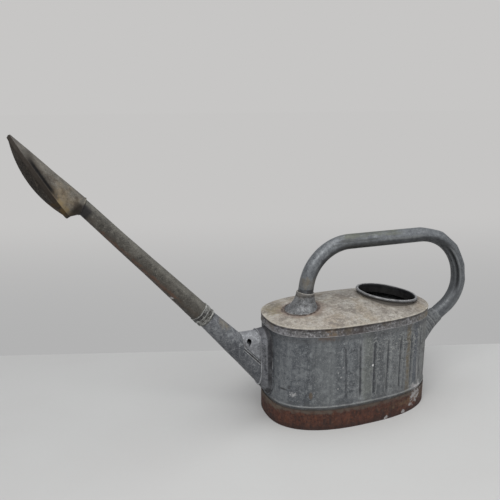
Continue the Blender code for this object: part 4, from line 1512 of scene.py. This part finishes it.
def paint_band():
    """Rusted steel: grain, runs and clouds of red and black, ochre and chalk on the right."""
    paint = Surface("rusty_steel", (72, 41, 30), metallic=0.0)
    grain = paint.noise(230.0, 4.0)
    runs = paint.noise(120.0, 4.0, (1.0, 1.0, 0.30), 5.0)
    coarse = paint.noise(34.0, 5.0, (1.0, 1.0, 0.7), 5.0)
    paint.lay(paint.span(coarse, 0.48, 0.64), (58, 38, 31), 0.7)
    paint.lay(paint.fall(coarse, 0.34, 0.46), (88, 50, 37), 0.5)
    paint.lay(paint.span(runs, 0.50, 0.66), (44, 29, 25), 0.8)
    paint.lay(paint.fall(runs, 0.34, 0.46), (98, 60, 42), 0.45)
    paint.lay(paint.span(grain, 0.52, 0.68), (36, 25, 21), 0.8)
    paint.lay(paint.fall(grain, 0.32, 0.46), (102, 64, 46), 0.5)
    paint.lay(paint.fall(paint.z, 0.001, 0.012), (40, 29, 27), 0.55)
    top = paint.span(paint.z, 0.0235, 0.0340)
    paint.wear(top, (84, 75, 66), 0.85, 110.0, 1.0)
    ochre = paint.between(paint.z, 0.014, 0.027, 0.006)
    ochre = paint.times(ochre, paint.span(paint.x, -0.02, 0.08))
    paint.wear(ochre, (102, 82, 60), 0.6, 140.0, 1.4)
    left = paint.times(paint.fall(paint.x, -0.152, -0.128), paint.span(paint.z, 0.016, 0.032))
    paint.wear(left, (92, 82, 70), 0.6, 110.0, 1.2)
    paint.lay(paint.span(paint.z, 0.0352, 0.0362), (58, 50, 46), 0.6)
    chalk = paint.spot((0.104, -0.078, 0.026), (0.026, 0.022, 0.028), 0.8)
    paint.wear(chalk, CHALK, 0.85, 170.0, 1.8)
    for centre in ((0.0909, -0.083, 0.0123), (0.0726, -0.0879, 0.0050), (0.0346, -0.0930, 0.0035)):
        paint.wear(paint.spot(centre, (0.007, 0.010, 0.005)), CHALK, 0.9, 300.0, 1.4)
    paint.bump(grain, 0.0012, 0.6)
    paint.bump(coarse, 0.0016, 0.4)
    return paint.finish(0.78, 0.95)


def paint_top():
    """The plate's clouds and stains, then its skirt, which is darker."""
    paint = zinc("top_zinc", (146, 140, 132), (112, 107, 100), (174, 169, 158), seed=3.0)
    patches = paint.noise(24.0, 5.0, shift=12.0)
    paint.lay(paint.span(patches, 0.50, 0.66), (142, 126, 102), 0.4)
    left = paint.times(paint.fall(paint.x, -0.060, 0.020), paint.near())
    paint.wear(left, (166, 154, 140), 0.3, 50.0, 1.0)
    olive = paint.spot((-0.128, 0.028, 0.186), (0.040, 0.055, 0.03), 0.8)
    paint.wear(olive, (120, 110, 82), 0.75, 60.0, 1.0)
    cream = paint.fall(paint.z, 0.1826, 0.1846)
    paint.wear(cream, (166, 159, 144), 0.25, 90.0, 1.3)
    blots = paint.noise(42.0, 5.0, shift=31.0)
    paint.lay(paint.span(blots, 0.52, 0.62), (108, 100, 92), 0.6)
    paint.lay(paint.fall(blots, 0.36, 0.46), (176, 172, 164), 0.5)
    spots = paint.noise(190.0, 3.0, shift=37.0)
    paint.lay(paint.span(spots, 0.54, 0.64), (104, 98, 92), 0.5)
    paint.lay(paint.fall(spots, 0.34, 0.44), (184, 180, 172), 0.5)
    right = paint.span(paint.x, 0.030, 0.140)
    paint.wear(right, (128, 116, 102), 0.4, 40.0, 0.8)
    # Dirt round the socket's foot and the filler, and painted shade at the filler's foot
    socket = paint.round_axis((SOCKET_X, 0.0, 0.0), (0.0, 0.0, 1.0))
    paint.wear(paint.fall(socket, 0.034, 0.054), (128, 112, 100), 0.75, 70.0, 0.9)
    paint.wear(paint.fall(socket, 0.0325, 0.0375), (70, 58, 54), 0.95, 160.0, 1.0)
    filler = paint.round_axis(FILLER_PLACE, FILLER_AXIS)
    paint.wear(paint.fall(filler, 0.056, 0.070), (118, 110, 100), 0.6, 70.0, 0.9)
    # Painted shade on the plate right at the filler's collar
    paint.lay(paint.fall(filler, 0.0525, 0.0540), PAINTED_SHADE, 0.3)
    paint.lay(paint.spot((0.0546, -0.0715, 0.1868), (0.0016, 0.009, 0.006)), (186, 180, 168), 0.5)
    # Skirt: speckled, pale at the near left, brown past it, yellower at the right
    skirt = paint.fall(paint.z, 0.1806, 0.1816)
    paint.lay(skirt, (98, 97, 98), 0.92)
    speckle = paint.noise(260.0, 4.0, shift=8.0)
    paint.lay(paint.times(skirt, paint.span(speckle, 0.51, 0.62)), (56, 54, 56), 0.8)
    paint.lay(paint.times(skirt, paint.fall(speckle, 0.36, 0.47)), (158, 157, 160), 0.7)
    broad = paint.noise(100.0, 3.0, shift=18.0)
    paint.lay(paint.times(skirt, paint.span(broad, 0.52, 0.62)), (60, 58, 58), 0.6)
    near = paint.times(paint.near(), skirt)
    pale = paint.times(near, paint.fall(paint.x, -0.150, -0.115))
    paint.wear(pale, (138, 137, 141), 0.55, 130.0, 1.5)
    dark = paint.times(near, paint.between(paint.x, -0.066, 0.0, 0.02))
    paint.wear(dark, (60, 52, 50), 0.8, 100.0, 1.0)
    yellow = paint.times(near, paint.span(paint.x, 0.060, 0.110))
    paint.wear(yellow, (104, 96, 78), 0.5, 70.0, 0.9)
    stain = paint.times(near, paint.between(paint.x, -0.086, -0.056, 0.014))
    paint.wear(stain, (106, 86, 62), 0.65, 120.0, 1.4)
    ochre = paint.times(skirt, paint.span(paint.noise(24.0, 4.0, shift=40.0), 0.53, 0.66))
    paint.lay(ochre, (104, 93, 74), 0.55)
    # Its dark upper line of painted shade, its worn lower edge and the plate's pale rim, a painted
    # highlight
    shade = paint.between(paint.z, 0.1772, 0.1810, 0.0010)
    paint.wear(shade, (48, 41, 40), 0.85, 90.0, 0.9)
    low = paint.fall(paint.z, 0.1676, 0.1690)
    paint.wear(low, (146, 146, 147), 0.8, 120.0, 0.9)
    # Painted highlight: a pale line along the plate's rim
    rim = paint.between(paint.z, 0.1816, 0.1828, 0.0003)
    paint.wear(rim, (178, 172, 160), 0.6, 100.0, 1.2)
    return paint.finish(0.5, 0.8)


def paint_filler():
    """A painted highlight on the roll's crest, painted shade on its flank, under it and inside, and a
    paler band below it against the roll's shadow.
    """
    paint = zinc("rim_zinc", (104, 104, 105), (64, 63, 64), (150, 149, 148), seed=2.0)
    away = paint.round_axis(FILLER_PLACE, FILLER_AXIS)
    height = paint.along(FILLER_AXIS, FILLER_PLACE)
    # Painted shade on the roll's outer flank
    paint.lay(paint.fall(height, 0.0002, 0.0016), (66, 65, 65), 0.7)
    # Painted highlight along the roll's crest
    crest = paint.span(height, 0.0016, 0.0026)
    paint.wear(crest, (150, 150, 150), 0.7, 90.0, 0.8)
    # Painted light: a paler band below the roll, against the shade it casts
    under = paint.fall(height, -0.0034, -0.0022)
    paint.lay(under, (142, 134, 124), 0.9)
    # Painted shade right under the roll
    paint.lay(paint.between(height, -0.0036, -0.0008, 0.0006), PAINTED_SHADE, 0.85)
    # Painted shade inside the filler's mouth
    paint.lay(paint.fall(away, 0.0512, 0.0522), (15, 15, 18), 0.97)
    return paint.finish(0.4, 0.65)


def paint_spout():
    """The cone, its brace and the collar round their roots."""
    made = {}
    cone = zinc("cone_zinc", (91, 93, 96), (60, 62, 67), (132, 134, 136), seed=5.0)
    streak = cone.spot((-0.232, -0.010, 0.188), (0.024, 0.016, 0.032), 0.9)
    cone.wear(streak, (124, 116, 98), 0.65, 150.0, 0.8)
    length = cone.along(SPOUT_AXIS, SPOUT_ROOT)
    cone.wear(cone.span(length, 0.146, 0.160), (70, 70, 74), 0.7, 110.0)
    # Painted shade on the cone's underside
    under = cone.fall(cone.along(SPOUT_UP, SPOUT_ROOT), -0.016, -0.004)
    cone.lay(under, (78, 80, 85), 0.3)
    made["cone"] = cone.finish()
    saddle = zinc("saddle_zinc", (117, 118, 121), (84, 86, 90), (150, 152, 154), seed=8.0)
    ripple = saddle.spot((-0.199, -0.014, 0.146), (0.006, 0.012, 0.016))
    saddle.wear(ripple, (70, 68, 68), 0.7, 200.0, 1.2)
    saddle.lay(saddle.span(saddle.x, -0.1722, -0.1700), (84, 85, 88), 0.6)
    made["saddle"] = saddle.finish()
    root = zinc("root_zinc", (76, 77, 82), (42, 43, 47), (124, 125, 128), True, 11.0)
    root.wear(root.span(root.z, 0.140, 0.162), (62, 62, 66), 0.7, 80.0, 1.0)
    # Painted shade on the collar where it meets the wall
    root.wear(root.span(root.x, -0.1635, -0.1585), (32, 31, 34), 0.9, 70.0, 0.6)
    made["root"] = root.finish()
    # The collar's front edge: pale as a painted highlight, less so higher up
    edge = zinc("root_edge_zinc", (142, 143, 146), (96, 97, 100), (176, 177, 178))
    edge.wear(edge.span(edge.z, 0.095, 0.130), (104, 105, 108), 0.7)
    made["root_edge"] = edge.finish()
    seam_paint = zinc("root_seam_zinc", (84, 86, 90), (40, 40, 42), (140, 142, 144))
    # Painted shade on the seam's upper part, at the wall
    seam_paint.lay(seam_paint.span(seam_paint.z, 0.090, 0.120), PAINTED_SHADE, 0.7)
    made["root_seam"] = seam_paint.finish()
    pipe = zinc("pipe_zinc", (70, 67, 61), (44, 42, 38), (98, 95, 88), seed=14.0)
    lift = pipe.along(SPOUT_UP, SPOUT_ROOT)
    length = pipe.along(SPOUT_AXIS, SPOUT_ROOT)
    # Painted highlight along the pipe's top
    pipe.wear(pipe.span(lift, 0.002, 0.010), (110, 108, 101), 0.6, 60.0, 0.6)
    pipe.wear(pipe.fall(lift, -0.007, 0.003), (68, 60, 52), 0.8, 60.0, 1.3)
    rusty = pipe.times(pipe.between(length, 0.215, 0.385, 0.02), pipe.fall(lift, -0.009, -0.003))
    pipe.wear(rusty, (96, 66, 50), 0.6, 110.0)
    # Painted shade on the pipe's underside
    pipe.lay(pipe.fall(lift, -0.0135, -0.0075), (48, 44, 40), 0.6)
    stain = pipe.times(pipe.between(length, 0.409, 0.440, 0.004), pipe.fall(lift, 0.003, 0.007))
    pipe.lay(stain, (26, 24, 24), 0.95)
    pipe.lay(pipe.spot((-0.3181, -0.0095, 0.2406), (0.005, 0.006, 0.003)), WHITE, 0.8)
    made["pipe"] = pipe.finish()
    joint = zinc("joint_solder", (92, 91, 88), (40, 38, 37), (138, 138, 133), seed=17.0)
    lumps = joint.noise(110.0, 4.0, shift=9.0)
    joint.lay(joint.span(lumps, 0.50, 0.60), (30, 28, 28), 0.85)
    joint.lay(joint.fall(lumps, 0.36, 0.44), (146, 146, 142), 0.6)
    joint.bump(lumps, 0.0020, 0.7)
    made["joint"] = joint.finish()
    return made


def paint_rose():
    """The hood with its golden lower part, painted shade on its lip and a painted shadow in its fold;
    its plate, partly darkened as painted shade; and its neck's seam.
    """
    made = {}
    hood = zinc("hood_zinc", (102, 99, 93), (78, 75, 70), (124, 119, 110), seed=20.0)
    length = hood.along(SPOUT_AXIS, SPOUT_ROOT)
    lift = hood.along(SPOUT.to_3x3() @ ROSE_IN, SPOUT @ ROSE_CENTRE)
    golden = hood.times(hood.fall(length, 0.460, 0.505), hood.span(lift, 0.010, 0.040, 1.0, 0.2))
    hood.wear(golden, (134, 120, 98), 0.75, 60.0, 0.7)
    gold = hood.times(hood.fall(length, 0.452, 0.486), hood.fall(lift, 0.006, 0.020))
    hood.wear(gold, (140, 122, 88), 0.7, 120.0, 1.0)
    blots = hood.span(hood.noise(90.0, 5.0, shift=7.0), 0.50, 0.62)
    hood.lay(hood.times(blots, hood.fall(length, 0.490, 0.525)), (70, 60, 50), 0.6)
    shade = hood.times(hood.fall(lift, 0.0100, 0.0170), hood.between(length, 0.466, 0.530, 0.010))
    hood.lay(shade, (50, 44, 38), 0.75)
    # Painted shadow: the black line of the fold above the lip
    fold = hood.between(lift, 0.0064, 0.0100, 0.0012)
    hood.lay(hood.times(fold, hood.between(length, 0.470, 0.520, 0.008)), (9, 8, 8), 0.98)
    hood.lay(hood.span(length, 0.525, 0.560), (84, 79, 76), 0.7)
    # Painted shade on the lip, which faces down
    lip = hood.fall(lift, 0.0052, 0.0060)
    hood.lay(lip, (46, 41, 36), 0.95)
    low_lip = hood.times(lip, hood.fall(length, 0.440, 0.470))
    hood.wear(low_lip, (94, 76, 48), 0.8, 170.0, 1.0)
    up = hood.along(SPOUT_UP, SPOUT_ROOT)
    root_stain = hood.times(hood.fall(length, 0.428, 0.440), hood.fall(up, 0.000, 0.006))
    hood.lay(root_stain, (40, 36, 33), 0.85)
    neck = hood.times(hood.fall(length, 0.424, 0.432), hood.span(up, 0.000, 0.006))
    hood.wear(neck, (128, 120, 104), 0.6, 160.0, 1.0)
    made["hood"] = hood.finish(0.6, 0.85, 0.2)
    # The plate's near-black tone is in part painted shade, as it faces down
    face = zinc("rose_face_zinc", (50, 46, 42), (30, 28, 26), (80, 74, 66), seed=23.0)
    length = face.along(SPOUT_AXIS, SPOUT_ROOT)
    face.wear(face.fall(length, 0.446, 0.480), (84, 66, 42), 0.7, 120.0, 1.2)
    face.lay(face.span(length, 0.500, 0.560), (60, 57, 54), 0.35)
    made["face"] = face.finish(0.75, 0.95, 0.2)
    seam_paint = zinc("rose_seam_zinc", (92, 87, 77), (54, 50, 46), (120, 115, 102))
    below = seam_paint.fall(seam_paint.along(SPOUT_UP, SPOUT_ROOT), 0.002, 0.008)
    seam_paint.lay(below, (36, 32, 31), 0.9)
    made["rose_seam"] = seam_paint.finish()
    return made


def paint_handle():
    """Zinc worn smooth by hands: olive on the bar, painted shade beneath it and in the pinched crease,
    and a painted highlight on the ridge beside the crease.
    """
    paint = zinc("handle_zinc", (102, 105, 108), (75, 78, 82), (126, 129, 131), seed=26.0, metallic=0.3)
    inner = paint.mark("inner")
    top = paint.span(paint.z, 0.3040, 0.3120)
    top = paint.times(top, paint.between(paint.x, -0.02, 0.11, 0.02))
    paint.wear(top, (96, 98, 84), 0.75, 60.0, 1.0)
    # Painted shade on the tube's underside and the inside of its bends, stronger higher up
    low = paint.span(paint.z, 0.235, 0.285, 0.45, 0.9)
    below = paint.ragged(paint.span(inner, -0.30, 0.30), 50.0, 0.35)
    paint.lay(paint.times(below, low), (32, 33, 35))
    lines = paint.noise(120.0, 3.0, (0.06, 1.0, 1.0), 50.0)
    bar = paint.times(paint.between(paint.x, -0.04, 0.15, 0.02), paint.span(paint.z, 0.27, 0.285))
    paint.lay(paint.times(bar, paint.span(lines, 0.52, 0.64)), (72, 73, 70), 0.6)
    paint.lay(paint.times(bar, paint.fall(lines, 0.34, 0.46)), (130, 132, 130), 0.4)
    # Painted highlight on the ridge beside the pinched crease
    paint.lay(paint.span(paint.mark("ridge"), 0.2, 0.8), (142, 145, 147), 0.7)
    # Painted shade in the pinched crease
    groove = paint.mark("groove")
    paint.lay(paint.span(groove, 0.20, 0.75), (30, 30, 32), 0.9)
    rear = paint.span(paint.x, 0.17, 0.21)
    paint.wear(rear, (76, 78, 80), 0.5, 40.0, 1.0)
    # Stains where the tube enters the front socket
    front = paint.fall(paint.x, -0.02, 0.0)
    stain = paint.spot((-0.085, -0.010, 0.240), (0.008, 0.012, 0.016))
    paint.wear(stain, (114, 103, 84), 0.6, 110.0)
    collar = paint.times(paint.between(paint.z, 0.2190, 0.2268, 0.0010), front)
    paint.wear(collar, (46, 44, 45), 0.85, 160.0, 0.6)
    stained = paint.times(paint.between(paint.z, 0.2268, 0.2460, 0.006), front)
    paint.wear(stained, (108, 104, 96), 0.5, 70.0)
    return paint.finish(0.36, 0.55)


def paint_sockets():
    """The front socket with its stained neck, the rear one with its ring marks."""
    made = {}
    front = zinc("front_socket_zinc", (93, 94, 95), (58, 57, 57), (134, 135, 136), seed=29.0)
    front.wear(front.span(front.z, 0.204, 0.218), (108, 102, 94), 0.75, 80.0, 0.9)
    front.wear(front.between(front.z, 0.2130, 0.2165, 0.001), (50, 46, 43), 0.7, 200.0, 1.2)
    front.lay(front.mark("lip"), (158, 154, 147), 0.85)
    made["front_socket"] = front.finish()
    rear = zinc("rear_socket_zinc", (98, 100, 101), (64, 66, 69), (128, 130, 130), seed=32.0)
    place, heading, length = lower_run(handle_path())
    down = rear.along(heading_vector(heading), place)
    for share in (0.28, 0.46, 0.66):
        at = length - REAR_SOCKET_LENGTH * (1.0 - share)
        rear.lay(rear.between(down, at - 0.0010, at + 0.0010, 0.0006), (54, 54, 55), 0.6)
        rear.lay(rear.between(down, at + 0.0018, at + 0.0034, 0.0006), (136, 137, 136), 0.5)
    rear.lay(rear.mark("lip"), (140, 141, 141), 0.7)
    made["rear_socket"] = rear.finish()
    return made


# Surfaces without stains of their own: material, middle, dark and light tone, and seed
PLAIN_FINISHES = {
    "saddle_seam": ("saddle_solder", (140, 141, 142), (90, 91, 93), (172, 173, 174), 0.0),
    "dark_line": ("solder_shade", (54, 52, 52), (34, 33, 33), (80, 79, 79), 0.0),
    "joint_ridge": ("joint_ridge_solder", (128, 128, 124), (70, 69, 66), (168, 168, 164), 6.0),
    "front_seam": ("front_seam_zinc", (86, 74, 68), (46, 38, 35), (160, 157, 152), 0.0),
    "rear_seam": ("rear_seam_zinc", (96, 96, 96), (56, 56, 57), (130, 131, 131), 0.0),
    "bottom": ("bottom_zinc", (92, 91, 88), (58, 56, 53), (118, 118, 113), 0.0),
}


def paint_all():
    """One finish for each surface of the can."""
    made = {"wall": paint_wall(), "band": paint_band(), "top": paint_top()}
    made["filler"] = paint_filler()
    made["handle"] = paint_handle()
    made.update(paint_spout())
    made.update(paint_rose())
    made.update(paint_sockets())
    for surface, (name, middle, dark, light, seed) in PLAIN_FINISHES.items():
        made[surface] = zinc(name, middle, dark, light, seed=seed).finish()
    return made


# The camera that took the photograph, found from the can's ovals and edges
CAMERA_RIGHT = Vector((0.93812, -0.34622, -0.00736))
CAMERA_UP = Vector((0.09185, 0.22829, 0.96925))
CAMERA_PLACE = Vector((-0.4887, -0.8351, 0.5296))
CAMERA_SENSOR = 36.0
CAMERA_LENS = 40.32

# The floor's reach, and the line on it where the wall behind begins
FLOOR_REACH = 60.0
WALL_LINE = Vector((-0.480 - CAN_X, 0.434, 0.0))
PAST_WALL = Vector((0.347, 1.075, 0.0)).normalized()

# Lamps by name, place, width and power; each points at the can's middle
LAMP_TARGET = Vector((CAN_X, 0.0, 0.12))
LAMPS = (
    ("key", (-0.9, -1.3, 1.9), 1.4, 32.0),
    ("fill", (1.5, -1.2, 1.2), 1.6, 9.0),
    ("top", (0.2, -0.1, 2.0), 1.6, 16.0),
)


def make_camera():
    back = CAMERA_RIGHT.cross(CAMERA_UP)
    place = Matrix((CAMERA_RIGHT, CAMERA_UP, back)).transposed().to_4x4()
    place.translation = TO_ROW @ CAMERA_PLACE
    data = bpy.data.cameras.new("camera")
    data.sensor_width = CAMERA_SENSOR
    data.lens = CAMERA_LENS
    camera = bpy.data.objects.new("camera", data)
    bpy.context.scene.collection.objects.link(camera)
    camera.matrix_world = place
    bpy.context.scene.camera = camera


def make_lamp(name, place, size, power):
    data = bpy.data.lights.new(name, "AREA")
    data.size = size
    data.energy = power
    lamp = bpy.data.objects.new(name, data)
    bpy.context.scene.collection.objects.link(lamp)
    lamp.location = place
    lamp.rotation_euler = (LAMP_TARGET - Vector(place)).to_track_quat("-Z", "Y").to_euler()


def make_stage():
    """A pale floor; past the line where the wall behind would stand it has the wall's tone."""
    paint = Surface("floor", (189, 188, 186), 0.0)
    paint.lay(paint.span(paint.noise(3.0), 0.35, 0.65), (192, 192, 190), 0.6)
    material = paint.finish(0.8, 0.9)
    tree = material.node_tree
    behind = paint.along(PAST_WALL, WALL_LINE)
    far = paint.span(behind, 0.0, 0.004)
    glow = tree.nodes.new("ShaderNodeEmission")
    paint.colour = screen(178, 178, 178)
    paint.lay(paint.span(behind, 0.0, 1.6), (198, 197, 196))
    tree.links.new(paint.colour, glow.inputs["Color"])
    path = tree.nodes.new("ShaderNodeLightPath")
    seen = paint.maths("MAXIMUM", path.outputs["Is Camera Ray"], path.outputs["Is Glossy Ray"])
    seen = paint.maths("MAXIMUM", seen, path.outputs["Is Transmission Ray"])
    choice = tree.nodes.new("ShaderNodeMixShader")
    tree.links.new(paint.times(far, seen), choice.inputs[0])
    tree.links.new(paint.shader.outputs[0], choice.inputs[1])
    tree.links.new(glow.outputs[0], choice.inputs[2])
    tree.links.new(choice.outputs[0], tree.nodes["Material Output"].inputs["Surface"])
    mesh = bpy.data.meshes.new("floor")
    signs = ((-1, -1), (1, -1), (1, 1), (-1, 1))
    corners = [(FLOOR_REACH * across, FLOOR_REACH * away, 0.0) for across, away in signs]
    mesh.from_pydata(corners, [], [(0, 1, 2, 3)])
    mesh.materials.append(material)
    floor = bpy.data.objects.new("floor", mesh)
    bpy.context.scene.collection.objects.link(floor)


def make_light():
    """Pale sky light, a backdrop that only the camera sees, and the lamps."""
    world = bpy.data.worlds.new("world")
    world.use_nodes = True
    tree = world.node_tree
    tree.nodes["Background"].inputs["Color"].default_value = (0.92, 0.95, 1.0, 1.0)
    tree.nodes["Background"].inputs["Strength"].default_value = 0.36
    backdrop = tree.nodes.new("ShaderNodeBackground")
    backdrop.inputs["Color"].default_value = screen(199, 198, 197)
    path = tree.nodes.new("ShaderNodeLightPath")
    choice = tree.nodes.new("ShaderNodeMixShader")
    tree.links.new(path.outputs["Is Camera Ray"], choice.inputs[0])
    tree.links.new(tree.nodes["Background"].outputs[0], choice.inputs[1])
    tree.links.new(backdrop.outputs[0], choice.inputs[2])
    tree.links.new(choice.outputs[0], tree.nodes["World Output"].inputs["Surface"])
    bpy.context.scene.world = world
    for lamp in LAMPS:
        make_lamp(*lamp)
    bpy.context.scene.view_settings.view_transform = "Standard"


make_camera()
make_light()
make_stage()
FINISH = paint_all()
for build, surface in (
    (make_wall, "wall"), (make_band, "band"), (make_top, "top"), (make_filler, "filler"),
    (make_cone, "cone"), (make_saddle, "saddle"), (make_root, "root"), (make_pipe, "pipe"),
    (make_joint, "joint"), (make_hood, "hood"), (make_rose_face, "face"), (make_handle, "handle"),
):
    build(FINISH[surface])
make_sockets(FINISH["front_socket"], FINISH["rear_socket"])
make_seams(FINISH)
bottom = bpy.data.objects["bottom_plate"]
bottom.data.materials.clear()
bottom.data.materials.append(FINISH["bottom"])
